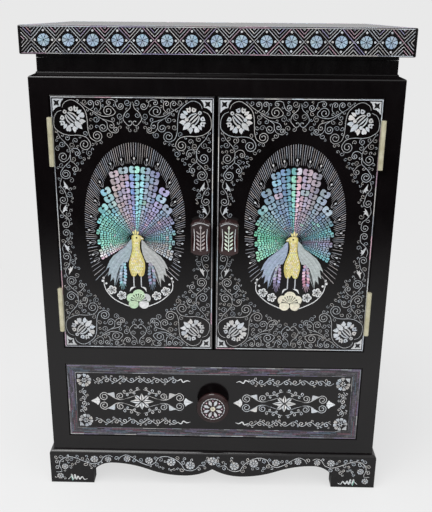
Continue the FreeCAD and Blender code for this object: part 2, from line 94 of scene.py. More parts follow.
def smooth(points, steps=6, closed=False):
    """A soft curve through the points."""
    p = np.asarray(points, dtype=complex)
    if closed:
        p = np.concatenate([p[-1:], p, p[:2]])
    else:
        p = np.concatenate([[2 * p[0] - p[1]], p, [2 * p[-1] - p[-2]]])
    a, b, c, d = p[:-3], p[1:-2], p[2:-1], p[3:]
    t = np.linspace(0, 1, steps, endpoint=False)[:, None]
    run = b + 0.5 * ((c - a) * t + (2 * a - 5 * b + 4 * c - d) * t ** 2 + (3 * b - a - 3 * c + d) * t ** 3)
    run = run.T.ravel()
    return run if closed else np.append(run, p[-2])


def arc(centre, radius, start, end, steps=9):
    return centre + radius * np.exp(1j * np.linspace(start, end, steps))


def winding(centre, radius, start, hand, turns, inner=0.26):
    """A spiral line that winds inward."""
    t = np.linspace(0, 1, int(13 * turns) + 5)
    return centre + radius * (1 - (1 - inner) * t) * np.exp(1j * (start + hand * TAU * turns * t))


def tendril(points, centre, hand, turns, steps=5):
    """A stem through the points that runs on into a spiral round a centre."""
    stem = smooth(points, steps)
    reach = stem[-1] - centre
    return np.concatenate([stem, winding(centre, abs(reach), np.angle(reach), hand, turns)[1:]])


def leaf(base, tip, width, belly=0.5, steps=7, bend=0.0):
    """Outline of a leaf or petal, widest at belly along its length and bowed sideways by bend."""
    t = np.linspace(0, 1, steps)
    way = tip - base
    side = 1j * way / abs(way)
    half = 0.5 * width * np.sin(math.pi * t ** (math.log(0.5) / math.log(belly)))
    axis = base + way * t + side * bend * np.sin(math.pi * t)
    return np.concatenate([axis + side * half, (axis - side * half)[-2:0:-1]])


PETAL = smooth([0, 0.45+0.42j, 0.8+0.5j, 1+0.24j, 0.92, 1-0.24j, 0.8-0.5j, 0.45-0.42j], 2, True)


def petal(base, tip, width):
    """Outline of a petal with a notched round end."""
    way = tip - base
    return base + way * PETAL.real + 1j * way / abs(way) * width * PETAL.imag


def star(radius, waist, points=4):
    """Outline of a star with pointed arms."""
    count = np.arange(2 * points)
    return np.where(count % 2 == 0, radius, waist) * np.exp(1j * count * math.pi / points)


# Inlay

SIDES = {  # across and up on each side of a box
    "front": ((1, 0, 0), (0, 0, 1)),
    "left": ((0, -1, 0), (0, 0, 1)),
    "right": ((0, 1, 0), (0, 0, 1)),
    "top": ((1, 0, 0), (0, 1, 0)),
}


def make_piece(name, verts, faces, material):
    """A mesh object with one material, linked to the scene."""
    mesh = bpy.data.meshes.new(name)
    mesh.from_pydata(verts, [], faces)
    mesh.materials.append(material)
    piece = bpy.data.objects.new(name, mesh)
    bpy.context.collection.objects.link(piece)
    return piece


class Inlay:
    """Thin plates on one side of a node's box, with seeded draws of their own. For a hollow side, depth gives
    how far each point stands out from the box's opposite side."""

    PROUD = 0.10  # of the plates above the face
    SUNK = 0.06  # of their undersides below it
    UV_EDGE = 0.01  # margin of the map that the plates are baked on

    def __init__(self, node, side, seed, depth=None):
        low, high = (np.array(corner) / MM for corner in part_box(node))
        self.across, self.up = (np.array(axis) for axis in SIDES[side])
        self.out = np.cross(self.across, self.up)
        base = -self.out if depth else self.out
        self.origin = np.where(base < 0, low, np.where(base > 0, high, (low + high) / 2))
        half = (high - low) / 2
        self.half = complex(np.abs(self.across) @ half, np.abs(self.up) @ half)
        self.depth = depth
        self.draws = random.Random(seed)
        self.points, self.heights, self.tints, self.faces = [], [], [], []
        self.count = 0

    def add(self, points, faces, tint, lift):
        """One plate: its outline points, on top and underneath, and the faces between them."""
        total = len(points)
        self.points.append(np.concatenate([points, points]))
        self.heights.append(np.repeat([self.PROUD + lift, -self.SUNK], total))
        self.tints.append(np.tile(tint, (2 * total, 1)))
        self.faces.extend([tuple(index + self.count for index in face) for face in faces])
        self.count += 2 * total

    def build(self, name, body):
        points = np.concatenate(self.points)
        heights = np.concatenate(self.heights)
        if self.depth:
            heights = heights + self.depth(points)
        places = self.origin + np.outer(points.real, self.across) + np.outer(points.imag, self.up)
        places = places + np.outer(heights, self.out)
        piece = make_piece(name, (places * MM).tolist(), self.faces, NACRE)
        mesh = piece.data
        colours = np.ones((len(points), 4))
        colours[:, :3] = np.concatenate(self.tints)
        mesh.color_attributes.new("tint", "FLOAT_COLOR", "POINT").data.foreach_set("color", colours.ravel())
        corners = np.empty(len(mesh.loops), dtype=np.int32)
        mesh.loops.foreach_get("vertex_index", corners)
        flat = np.column_stack([points.real, points.imag])
        flat = (flat - flat.min(axis=0)) / np.ptp(flat, axis=0)
        flat = self.UV_EDGE + (1 - 2 * self.UV_EDGE) * flat[corners]
        mesh.uv_layers.new(name="OFBake").data.foreach_set("uv", flat.ravel())
        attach(piece, body)


class Pen:
    """Draws plates on an inlay from its own place, which may be turned or mirrored. wobble is how far the tint
    of a plate may be from the tint given."""

    WARMTH = 0.4  # share of the wobble that goes into warmer or cooler
    TAPER = 0.25  # share of a line's length over which it thins

    def __init__(self, inlay, grow=1, shift=0, mirrored=False):
        self.inlay = inlay
        self.draws = inlay.draws
        self.grow = grow
        self.shift = shift
        self.mirrored = mirrored

    def put(self, points):
        return self.grow * (np.conj(points) if self.mirrored else points) + self.shift

    def at(self, shift=0, turn=0.0, flip_u=False, flip_v=False):
        grow = ray(turn) * (-1 if flip_u else 1)
        if self.mirrored:
            grow = grow.conjugate()
        return Pen(self.inlay, self.grow * grow, self.put(shift), self.mirrored != (flip_u != flip_v))

    def vary(self, tint, wobble):
        """A tint that is a little lighter or darker and warmer or cooler."""
        if not wobble:
            return tint
        level = self.draws.uniform(1 - wobble, 1 + wobble)
        warm = self.draws.uniform(-self.WARMTH, self.WARMTH) * wobble
        return np.clip(tint * level * np.array([1 + warm, 1.0, 1 - warm]), 0, BRIGHTEST)

    def plate(self, outline, tint, wobble=0, lift=0.0):
        tint = self.vary(tint, wobble)
        points = self.put(np.asarray(outline, dtype=complex))
        if np.sum(np.imag(np.conj(points) * np.roll(points, -1))) < 0:
            points = points[::-1]
        n = len(points)
        faces = [tuple(range(n)), tuple(range(2 * n - 1, n - 1, -1))]
        faces += [(i, n + i, n + (i + 1) % n, (i + 1) % n) for i in range(n)]
        self.inlay.add(points, faces, tint, lift)

    def band(self, left, right, tint, lift):
        """A strip between two lines with as many points each, the first on its left."""
        if self.mirrored:
            left, right = right, left
        k = len(left)
        n = 2 * k
        faces = [(0, n, n + k, k), (k - 1, n - 1, 2 * n - 1, n + k - 1)]
        for i in range(k - 1):
            faces.append((i, k + i, k + i + 1, i + 1))
            faces.append((n + i + 1, n + k + i + 1, n + k + i, n + i))
            faces.append((i + 1, n + i + 1, n + i, i))
            faces.append((k + i, n + k + i, n + k + i + 1, k + i + 1))
        self.inlay.add(self.put(np.concatenate([left, right])), faces, tint, lift)

    def stroke(self, line, width, tint, wobble=0, start=1.0, end=1.0, lift=0.0):
        """A line of a width, which may thin towards its start or end."""
        tint = self.vary(tint, wobble)
        line = np.asarray(line, dtype=complex)
        way = np.gradient(line)
        t = np.linspace(0, 1, len(line))
        thin = np.interp(t, [0, self.TAPER, 1 - self.TAPER, 1], [start, 1, 1, end])
        side = 0.5j * width * thin * way / np.abs(way)
        self.band(line + side, line - side, tint, lift)

    def disc(self, centre, radius, tint, wobble=0, count=10, lift=0.0):
        self.plate(centre + radius * np.exp(1j * TAU * np.arange(count) / count), tint, wobble, lift)


# Motifs

QUARTERS = ((False, False), (False, True), (True, False), (True, True))
CUT = 0.03  # lift of dark details that stand for cuts through a plate
JOINT = 0.06  # between the lengths of a pieced line
STEM_HALF = 0.1  # room that a stem takes on each side
CURL_ROOM = 0.55  # between curls
CURL_SLACK = 0.04  # how far that room may be overlapped
CURL_WIDTH = 0.36


def curl(pen, seat, tint, wobble, width, turns):
    """A small open spiral that ends in a dot. seat is its centre, radius, start angle and hand."""
    tint = pen.vary(tint, wobble)
    line = winding(*seat, turns, 0.3)
    pen.stroke(line, width, tint, start=0.8)
    pen.disc(line[-1], 1.15 * width, np.clip(1.2 * tint, 0, 0.9), count=7)


def wheel(pen, radius, tint, spokes=8, gap=0.32, hub=0.10):
    """A disc of wedges with dark lines between them."""
    inner = hub * radius
    outer_gap = 0.5 * gap / radius
    inner_gap = min(0.5 * gap / inner, 0.45 * TAU / spokes)
    for i in range(spokes):
        low = TAU * i / spokes
        high = low + TAU / spokes
        rim = arc(0, radius, low + outer_gap, high - outer_gap, 5)
        core = arc(0, inner, high - inner_gap, low + inner_gap, 2)
        pen.plate(np.concatenate([rim, core]), tint, 0.14)


def blossom(pen, radius, tint):
    """Five round petals with dark stamens."""
    for i in range(5):
        way = ray(math.pi / 2 + i * TAU / 5)
        pen.disc(0.56 * radius * way, 0.42 * radius, tint, 0.06, count=11)
        pen.stroke(radius * way * np.array([0.16, 0.40, 0.62]), 0.13 * radius, INK, lift=CUT)
        pen.disc(0.66 * radius * way, 0.12 * radius, INK, count=6, lift=CUT)


def strip(pen, start, end, width, tints, shortest, longest):
    """A straight line pieced together from lengths of different tints."""
    length = abs(end - start)
    way = (end - start) / length
    run = 0.0
    while run < length:
        step = pen.draws.uniform(shortest, longest)
        if length - run - step < shortest:
            step = length - run
        ends = [start + run * way, start + (run + step - JOINT) * way]
        pen.stroke(ends, width, pen.draws.choice(tints), 0.18)
        run += step


def border(pen, inset, width, tints, shortest, longest):
    """A rectangle of pieced lines, inset from the edges of the inlay's side to the middle of the line."""
    half = pen.inlay.half - complex(inset, inset)
    a, b = half.real, half.imag
    reach = width / 2
    for sign in (1, -1):
        for start, end in ((complex(-a - reach, sign * b), complex(a + reach, sign * b)),
                           (complex(sign * a, reach - b), complex(sign * a, b - reach))):
            strip(pen, start, end, width, tints, shortest, longest)


def grow(pen, stems, seats, free, sizes, room=CURL_ROOM):
    """Fills a field with curls. Each sits in a circle that touches a stem or another curl, and turns the way the
    line it leaves is going. stems are lines, and seats are circles with a turning hand that are there already."""
    flows = np.concatenate([np.gradient(line) for line in stems])
    flows = flows / np.abs(flows)
    centres = np.concatenate(stems + [[seat[0] for seat in seats]])
    radii = np.array([STEM_HALF] * len(flows) + [seat[1] for seat in seats])
    rooms = np.array([0.0] * len(flows) + [room] * len(seats))
    hands = [0] * len(flows) + [seat[2] for seat in seats]
    curls = []
    for radius, tries in sizes:
        for _ in range(tries):
            host = pen.draws.randrange(len(centres))
            hand = -hands[host]
            way = ray(pen.draws.uniform(0, TAU))
            if hand == 0:
                hand = pen.draws.choice((1, -1))
                way = 1j * hand * flows[host]
            centre = centres[host] + (radii[host] + radius) * way
            if not free(centre, radius):
                continue
            gaps = np.abs(centres - centre) - radii - rooms
            gaps[host] = radius
            if gaps.min() < radius - CURL_SLACK:
                continue
            centres = np.append(centres, centre)
            radii = np.append(radii, radius)
            rooms = np.append(rooms, room)
            hands.append(hand)
            curls.append((centre, radius, np.angle(-way), hand))
    return curls


def draw_curls(pen, curls, tint):
    """Curls with more turns the larger they are."""
    for seat in curls:
        curl(pen, seat, tint, 0.2, CURL_WIDTH, 0.1 + 0.43 * seat[1])


# Materials

class Paint:
    """The shader nodes of a material or a world."""

    def __init__(self, owner):
        owner.use_nodes = True
        self.owner = owner
        self.nodes = owner.node_tree.nodes
        self.links = owner.node_tree.links

    def feed(self, node, inputs):
        """Puts a constant or another node's output at each input."""
        for socket, value in inputs.items():
            if isinstance(value, bpy.types.NodeSocket):
                self.links.new(value, node.inputs[socket])
            else:
                node.inputs[socket].default_value = value

    def add(self, kind, output, inputs, **settings):
        """One output of a new node."""
        node = self.nodes.new("ShaderNode" + kind)
        for setting, value in settings.items():
            setattr(node, setting, value)
        self.feed(node, inputs)
        return node.outputs[output]

    def noise(self, scale, detail=3.0, roughness=0.5, stretch=(1, 1, 1)):
        """Noise over the object's own space."""
        place = self.add("TexCoord", "Object", {})
        fit = self.add("Mapping", "Vector", {"Vector": place, "Scale": stretch})
        return self.add("TexNoise", "Fac",
                        {"Vector": fit, "Scale": scale, "Detail": detail, "Roughness": roughness})

    def ramp(self, source, low, high, start=0.3, end=0.7):
        """Colours between two values of a field."""
        colour = self.add("ValToRGB", "Color", {"Fac": source})
        first, last = colour.node.color_ramp.elements
        first.position, last.position = start, end
        first.color, last.color = (*low, 1), (*high, 1)
        return colour

    def spread(self, source, low, high, start=0.3, end=0.7, shape="LINEAR"):
        """Numbers between two values of a field."""
        inputs = {"Value": source, "From Min": start, "From Max": end, "To Min": low, "To Max": high}
        return self.add("MapRange", "Result", inputs, interpolation_type=shape)

    def bump(self, source, strength, distance):
        return self.add("Bump", "Normal", {"Height": source, "Strength": strength, "Distance": distance})

    def dress(self, inputs):
        """The finished material, from the inputs of its main shader."""
        self.feed(self.nodes["Principled BSDF"], inputs)
        return self.owner


def new_paint(name):
    return Paint(bpy.data.materials.new(name))


def nacre(name):
    """Shell plates: each plate's own tint with cloudy pearl bands across it."""
    paint = new_paint(name)
    cloud = paint.noise(420, 3, 0.6, (1, 1, 1.6))
    tint = paint.add("Attribute", "Color", {}, attribute_name="tint")
    colour = paint.add("HueSaturation", "Color", {"Color": tint,
                                                  "Hue": paint.spread(paint.noise(160, 2), 0.48, 0.52),
                                                  "Value": paint.spread(cloud, 0.84, 1.10)})
    return paint.dress({"Base Color": colour,
                        "Roughness": paint.spread(cloud, 0.18, 0.34),
                        "Normal": paint.bump(cloud, 0.08, 0.0002),
                        "Coat Weight": 0.35,
                        "Coat Roughness": 0.08})


def finish(name, colour, rough, relief, constants):
    """A material whose colour, roughness and relief each follow a noise, between two values."""
    paint = new_paint(name)
    inputs = dict(constants)
    fields = {}
    for socket, follow, rule in (("Base Color", paint.ramp, colour), ("Roughness", paint.spread, rough),
                                 ("Normal", paint.bump, relief)):
        if rule:
            shape, low, high = rule
            if shape not in fields:
                fields[shape] = paint.noise(*shape)
            inputs[socket] = follow(fields[shape], low, high)
    return paint.dress(inputs)


# Each noise has its scale, detail, roughness and stretch.
CLOUDS, MARKS, RIPPLE = (26, 4), (150, 5, 0.65, (1, 1, 0.35)), (340, 2)  # lacquer
GRAIN = (90, 6, 0.65, (1, 0.06, 1))  # wood, along the boards
TARNISH, DRAWN_UP, DRAWN_ACROSS = (120, 4), (700, 3, 0.6, (1, 1, 0.08)), (700, 3, 0.6, (0.1, 1, 1))  # metals
HAZE, SPECKS, PATCHES, PILE = (60, 3), (900, 2), (38, 4, 0.55), (2400, 2)  # mirror, plastic and velvet
NACRE = nacre("nacre")
FINISHES = {
    "black_lacquer": finish("black_lacquer_polish", (CLOUDS, (0.0022, 0.0015, 0.0017), (0.0044, 0.0031, 0.0035)),
                            (MARKS, 0.10, 0.17), (RIPPLE, 0.05, 0.0002), {"IOR": 1.5}),
    "maroon_lacquer": finish("maroon_lacquer_polish", (CLOUDS, (0.016, 0.0055, 0.0055), (0.030, 0.0095, 0.0095)),
                             (MARKS, 0.12, 0.2), (RIPPLE, 0.05, 0.0002), {"IOR": 1.5}),
    "stained_wood": finish("stained_wood_grain", (GRAIN, shade(34, 22, 18), shade(66, 44, 34)),
                           (GRAIN, 0.38, 0.6), (GRAIN, 0.2, 0.0003), {}),
    "brass": finish("brass_satin", (TARNISH, shade(204, 197, 162), shade(236, 231, 204)),
                    (DRAWN_UP, 0.36, 0.52), (DRAWN_UP, 0.08, 0.0001), {"Metallic": 0.55}),
    "steel": finish("steel_satin", (TARNISH, shade(150, 150, 152), shade(186, 186, 188)),
                    (DRAWN_ACROSS, 0.28, 0.4), (DRAWN_ACROSS, 0.08, 0.0001), {"Metallic": 1.0}),
    "mirror_glass": finish("mirror_silvering", (HAZE, (0.86, 0.88, 0.88), (0.91, 0.92, 0.92)),
                           (HAZE, 0.012, 0.03), None, {"Metallic": 1.0}),
    "catch_plastic": finish("catch_moulding", (SPECKS, shade(22, 22, 23), shade(34, 34, 35)),
                            (SPECKS, 0.45, 0.6), (SPECKS, 0.15, 0.0002), {}),
    "velvet": finish("velvet_pile", (PATCHES, shade(84, 8, 16), shade(146, 20, 32)), None, (PILE, 0.5, 0.0004),
                     {"Roughness": 0.92, "Sheen Weight": 0.8, "Sheen Roughness": 0.35,
                      "Sheen Tint": (0.9, 0.35, 0.4, 1)}),
}
for part in frame["record"]["subparts"]:
    node = frame["nodes"][part["node"]]
    node.data.materials.clear()
    node.data.materials.append(FINISHES[part["material_slot"]])


# Scrolled border of a door. A quarter is drawn from the door's corner inward and mirrored to the other three.

DOOR_LINE = 0.62  # border line
DOOR_LINE_INSET = 1.4  # from the door's edge to the middle of the line
DOOR_LINE_TINTS = [SILVER, SILVER, GREY, PINK * 0.8]
OVAL = complex(51.0, 79.5)  # half sizes of the black oval
FLOWER_AT = 16.7 + 17.7j
FLOWER_LOOP = 12.8  # radius round a flower that stays free of curls
PLATE_REACH = 19  # a corner plate's slanting side keeps this sum of across and up free
LINE_ROOM = 0.9  # from the middle of the border line to the curls
MIDDLE_ROOM = 0.2  # from a door's middle lines to the curls
PULL_INSET = 10.5 - 4.4j  # the pull's middle, from the door's meeting edge and middle
PULL_ROOM = 9.6 + 16j  # half sizes of the room round it that stays free of curls
# Each tendril is a stem, the middle of the spiral that it ends in, the spiral's hand and its turns.
TENDRILS = [
    ([9.9+9.4j, 10.8+6.8j, 12.6+5j, 15.6+3.7j, 18.9+3.9j, 22.6+6.1j, 25.8+8.9j, 27.8+12.1j,
      28.8+17j, 29.1+23j, 29.5+28j, 31.2+33j, 34.8+35.4j], 36.2+31.2j, -1, 1.7),
    ([9+11.6j, 5.5+13.2j, 3.4+16.5j, 2.7+20.3j, 2.9+24.2j, 4.4+26.6j, 7+28.6j, 10+30.1j,
      14.9+31j, 19.9+30.8j, 24.3+31.2j, 28+32.8j, 30.4+36j], 26.2+38.2j, 1, 1.7),
    ([24.3+5j, 27+7.8j, 30.1+10j, 33.9+12.1j, 37.6+14.3j, 41.9+15.9j, 46.4+15.7j, 50+14.4j,
      51.2+12.3j, 49.6+10.1j], 45.6+11.8j, -1, 1.5),
    ([33.3+12.7j, 37.5+16j, 41.8+18.7j, 44.2+20.6j, 44.6+23.6j], 41.2+24.6j, 1, 1.5),
    ([40.4+17.8j, 45.2+19.2j, 48.6+20.4j, 50+22.8j], 47.8+23.2j, 1, 0.9),
    ([44.7+24.4j, 46.6+27.4j, 50+28.7j], 51+26.3j, -1, 1.4),
    ([51+4j, 51.7+6.7j, 53+9.3j], 55.4+7.9j, -1, 1.4),
    ([31.8+10.9j, 34.3+8.8j, 34.4+5.8j], 32+5.9j, -1, 1.2),
    ([36.6+13.6j, 39.8+10j, 39.9+6.4j], 37.5+5.9j, -1, 1.2),
    ([51+4j, 48.4+3j, 45.6+3.3j], 46.4+5.3j, -1, 1.0),
    ([5+29j, 7.5+33.4j, 10.6+36.7j, 13.2+40.2j, 14.4+44.4j, 13+49.2j, 9.4+52.2j], 8.6+48.2j, 1, 1.5),
    ([14.4+46.6j, 13.8+51.4j, 9.4+55.6j, 5.8+60.4j], 9.9+62j, -1, 1.9),
    ([14.2+43.6j, 17.4+41.4j, 20.8+42j, 22.2+44.6j], 19.9+45.2j, 1, 1.2),
    ([13.8+51.4j, 17+53.2j, 19.9+56.8j], 17.4+57.8j, 1, 1.2),
    ([6.4+65.4j, 4.8+71j, 8.2+76j, 9.6+81.2j], 6.6+83.4j, 1, 1.5),
    ([4.4+86.4j, 3.6+91j, 6+95.6j, 9.8+99.2j, 10.6+103j], 7.4+104j, 1, 1.4),
    ([63.7+4.6j, 62.6+9.4j, 58.6+13.4j, 57.2+18.2j, 60.2+22.4j], 62.2+20.4j, -1, 0.7),
]
QUARTER_STEMS = [tendril(*shape) for shape in TENDRILS]
SHARD = np.array([-4.2, -0.4+1j, 0.6+2.6j, 1.4+0.9j, 3+1.6j, 2.4+0.1j, 4.6-0.6j, 1.6-1.2j, -0.4-0.8j])
SHARDS = [(9.2+71.4j, 68), (7+91.6j, -58)]  # place and turn in degrees of the thorny white leaves
SHARD_ROOM = 2.8
QUARTER_SEATS = [(middle, abs(stem[-1] - middle), hand) for stem, middle, hand, turns in TENDRILS]
QUARTER_SEATS += [(place, SHARD_ROOM, 1) for place, degrees in SHARDS]
CURL_SIZES = [(2.7, 500), (2.3, 900), (1.95, 1200), (1.6, 2600), (1.35, 5000)]  # radius and tries
CORNER_PLATE = [11.2+2.7j, 9.6+4.4j, 8.7+6.4j, 8.5+8.5j, 6.4+8.9j, 4.2+10.3j, 2.4+12.6j, 2.4+2.7j]
CORNER_STAR = 5.6 + 5.9j + ray(TAU / 8) * star(3.2, 1.5)
PETALS = [(5.4+2.8j, 9.6+6.2j, 3.3), (0.4+5.8j, 1.2+10.5j, 2.7), (7.4+1.7j, 9.2+3.3j, 1.1)]  # base, tip and width
TULIPS = [(-2.3+7.4j, (-5+8.9j, -2+10.1j)), (-5.2+4.8j, (-7.3+4.1j, -5.8+7.2j))]  # middle and two tips


def quarter_curls(pen):
    """Curls that fill one quarter between its stems."""
    half = pen.inlay.half

    def free(centre, radius):
        a, b = centre.real, centre.imag
        if min(a, b) - radius < DOOR_LINE_INSET + LINE_ROOM:
            return False
        if a + radius > half.real - MIDDLE_ROOM or b + radius > half.imag - MIDDLE_ROOM:
            return False
        if abs(centre - FLOWER_AT) < FLOWER_LOOP + radius or a + b < PLATE_REACH + 1.42 * radius:
            return False
        reach = half - centre
        return (reach.real / (OVAL.real + radius)) ** 2 + (reach.imag / (OVAL.imag + radius)) ** 2 > 1

    return grow(pen, QUARTER_STEMS, QUARTER_SEATS, free, CURL_SIZES)


def peony(pen):
    """A full flower that opens along the across direction, away from its corner, round two long bars."""
    pen.plate(leaf(3.4, 11.7, 4.3, 0.42), SILVER, 0.1)
    pen.disc(-7.1, 1.5, 0.85 * SILVER, 0.1)
    pen.disc(-7.1, 0.6, INK, count=6, lift=CUT)
    for flip in (False, True):
        half = pen.at(flip_v=flip)
        half.plate(leaf(-6.4+0.8j, 5.2+1j, 1.3, 0.5, bend=0.3), 0.85 * SILVER, 0.1)
        half.stroke(smooth([-5+1.7j, -1.4+3.5j, 2.6+3.7j], 5), 1.05, 0.85 * SILVER, 0.1, start=0.6)
        half.disc(3.7+3.7j, 1.5, SILVER, 0.1)
        half.plate(petal(2.4+5j, 5.2+9.3j, 4.0), SILVER, 0.15)
        for base, tip, width in PETALS:
            half.plate(leaf(base, tip, width, 0.42), SILVER, 0.15)
        for middle, tips in TULIPS:
            tint = pen.vary(0.9 * SILVER, 0.15)
            half.disc(middle, 1.75, tint)
            for tip in tips:
                half.plate(leaf(0.96 * middle, tip, 1.9, 0.4, bend=0.3), tint, lift=0.01)
            half.disc(1.04 * middle, 0.6, INK, count=6, lift=CUT)


def scroll_border(pen):
    """Border lines, corner plates, flowers and scrollwork round the oval of one door."""
    half = pen.inlay.half
    border(pen, DOOR_LINE_INSET, DOOR_LINE, DOOR_LINE_TINTS, 9, 30)
    curls = quarter_curls(pen)
    pull = complex(half.real - PULL_INSET.real, PULL_INSET.imag)
    for flip_u, flip_v in QUARTERS:
        across, up = -1 if flip_u else 1, -1 if flip_v else 1
        corner = complex(-across * half.real, -up * half.imag)
        quarter = pen.at(corner, flip_u=flip_u, flip_v=flip_v)
        quarter.plate(CORNER_PLATE, SILVER, 0.06)
        quarter.plate(CORNER_STAR, INK, lift=CUT)
        peony(quarter.at(FLOWER_AT, turn=TAU / 8))
        for stem in QUARTER_STEMS:
            quarter.stroke(stem, 0.44, 0.7 * SILVER, 0.12, start=0.7)
            quarter.disc(stem[-1], 0.5, SILVER, count=8)
        for place, degrees in SHARDS:
            quarter.plate(place + ray(math.radians(degrees)) * SHARD, SILVER, 0.1)
        shown = []
        for seat in curls:
            away = corner + complex(across * seat[0].real, up * seat[0].imag) - pull
            if abs(away.real) > PULL_ROOM.real or abs(away.imag) > PULL_ROOM.imag:
                shown.append(seat)
        draw_curls(quarter, shown, 0.58 * SILVER)


# Peacock, from the middle of a door with the beak towards the doors' meeting edge

FAN_ROOT = 0.5 - 9j
# Each feather has its degrees from the vertical at the tip, its reach, its degrees low down, and if it has a bud.
FEATHERS = [(0, 62.3, 0, True), (8.7, 62.0, 11, True), (16.6, 60.6, 22, True), (30, 50.5, 33, True),
            (44.5, 40.5, 43.5, True), (53, 35.4, 53, False), (61.5, 35.6, 61.5, True), (70, 32.2, 70, False),
            (78, 33.6, 78, True), (86, 30.2, 86, False), (94, 32.4, 94, True), (102, 30.2, 102, False),
            (110, 32.8, 110, True), (118, 34.0, 118, True)]
FEATHER_LOW = 30  # distance from the root below which a feather runs straight
FEATHER_ROOT = 5.6  # distance from the root at which its scales end
FEATHER_MOST = 8.7  # widest scale
FEATHER_GAP = 0.4  # between feathers, and between scales
FEATHER_BESIDE = 3  # a feather this much shorter still takes room from its neighbour
FEATHER_DRIFT = 1.5  # degrees that a scale's colour may be off along the fan
SCALE_RISE = 0.74  # from one scale to the next, to its width
FLASHES = [WHITE, PINK, MINT, CYAN]  # tints that light up some of the scales
FLASH_CHANCE = 0.1
FLASH_SHARE = 0.5
HALO_HALF = 41.1  # half the width of the halo's oval
HALO_TOP = 64.6  # its height over the widest level
HALO_BOTTOM = 95.0  # its depth under that level
HALO_RISE = 7.0  # of the halo's widest level above the middle
HALO_END = -45.0  # lowest level of the halo's lines
HALO_FLANK = 97  # degrees each side of the vertical over which the lines are close
HALO_PITCH = 1.95  # between the ends of the close lines
HALO_OPEN = np.arange(100.5, 142, 4.4)  # degrees of the open lines below them
HALO_CLEAR = 1.6  # between the feathers and the lines
HALO_SHORTEST = 2
SPRIG_ROOM = 5.4  # more clearance beyond a sprig
SPRIG_SPAN = 130  # half the width of a sprig's room, in degrees times distance

FAN_LEFT = [(-121, PINK), (-114, WHITE), (-100, MINT), (-85, shade(146, 214, 204)), (-66, shade(140, 202, 196)),
            (-52, shade(126, 190, 184)), (-44, shade(146, 200, 200)), (-36, shade(150, 194, 204)),
            (-29, shade(152, 192, 200)), (-22, shade(176, 176, 180)), (-16, shade(176, 166, 178)),
            (-8, shade(178, 164, 184)), (-4, LILAC), (-1, BLUE), (2, CYAN), (7, CYAN), (12, shade(160, 168, 188)),
            (20, shade(146, 150, 186)), (31, LILAC), (45, STEEL), (58, MAUVE), (72, STEEL), (88, TEAL),
            (100, GREY), (121, SILVER)]
FAN_RIGHT = [(-121, MINT), (-100, MINT), (-82, GREEN), (-62, shade(134, 184, 176)), (-45, shade(140, 176, 180)),
             (-36, shade(150, 170, 186)), (-28, shade(140, 164, 180)), (-17, shade(134, 154, 176)),
             (-9, shade(130, 156, 186)), (-4, TEAL), (-1.6, MINT), (1.6, PINK), (5, shade(196, 172, 190)),
             (9, shade(172, 160, 176)), (17, shade(158, 152, 168)), (24, shade(142, 158, 166)),
             (33, shade(152, 160, 176)), (43, shade(132, 152, 176)), (58, shade(126, 148, 160)),
             (75, TEAL), (90, MAUVE), (104, STEEL), (121, TEAL)]
# One lobe of a scale, to the scale's width and height
LOBE = np.array([0.015+0.06j, 0.22+0j, 0.43+0.12j, 0.49+0.46j, 0.47+0.82j, 0.32+0.98j,
                 0.09+0.93j, 0.02+0.72j, 0.13+0.66j, 0.17+0.52j, 0.10+0.43j, 0.02+0.38j])


def upward(degrees):
    """Unit step at an angle from the vertical, positive towards across."""
    return 1j * ray(-math.radians(degrees))


def halo_reach(degrees):
    """How far from the fan's root a line at an angle from the vertical meets the halo's edge."""
    way = upward(degrees)
    start = FAN_ROOT - 1j * HALO_RISE
    for tall in (HALO_TOP, HALO_BOTTOM):
        a = (way.real / HALO_HALF) ** 2 + (way.imag / tall) ** 2
        b = 2 * (way.real * start.real / HALO_HALF ** 2 + way.imag * start.imag / tall ** 2)
        c = (start.real / HALO_HALF) ** 2 + (start.imag / tall) ** 2 - 1
        reach = (-b + math.sqrt(b * b - 4 * a * c)) / (2 * a)
        if (start + reach * way).imag > 0:
            break
    lowest = HALO_END - FAN_ROOT.imag
    return reach if reach * way.imag > lowest else lowest / way.imag


def fan_tint(palette, degrees):
    """The colour of the fan at an angle."""
    angles = [angle for angle, tint in palette]
    return np.array([np.interp(degrees, angles, [tint[i] for angle, tint in palette]) for i in range(3)])


def feather_turn(order, edge):
    """The angle from the vertical of a feather at a distance from the root, in degrees."""
    tip, reach, low, sprigged = FEATHERS[order]
    return float(np.interp(edge, [FEATHER_LOW, reach], [low, tip]))


def feather(pen, order, hand, palette, seen):
    """Paired scales from a feather's tip to the fan's root, some of which flash. hand is its side of the fan."""
    tip, edge, low, sprigged = FEATHERS[order]
    while edge > FEATHER_ROOT:
        turn = feather_turn(order, edge)
        beside = [near for near in (order - 1, order + 1)
                  if 0 <= near < len(FEATHERS) and FEATHERS[near][1] > edge - FEATHER_BESIDE]
        room = min(abs(feather_turn(near, edge) - turn) for near in beside)
        width = min(FEATHER_MOST, math.radians(room) * edge - FEATHER_GAP)
        tall = SCALE_RISE * width
        drift = pen.draws.uniform(-FEATHER_DRIFT, FEATHER_DRIFT)
        flash = pen.draws.choice(FLASHES)
        share = FLASH_SHARE if pen.draws.random() < FLASH_CHANCE else 0.0
        place = pen.at(FAN_ROOT, turn=-hand * math.radians(turn))
        for side in (1, -1):
            tint = 1.1 * fan_tint(palette, seen * (hand * tip + 0.25 * side * room) + drift)
            lobe = side * width * LOBE.real + 1j * (edge - tall + (tall - FEATHER_GAP) * LOBE.imag)
            place.plate(lobe, (1 - share) * tint + share * flash, 0.24)
        edge -= tall


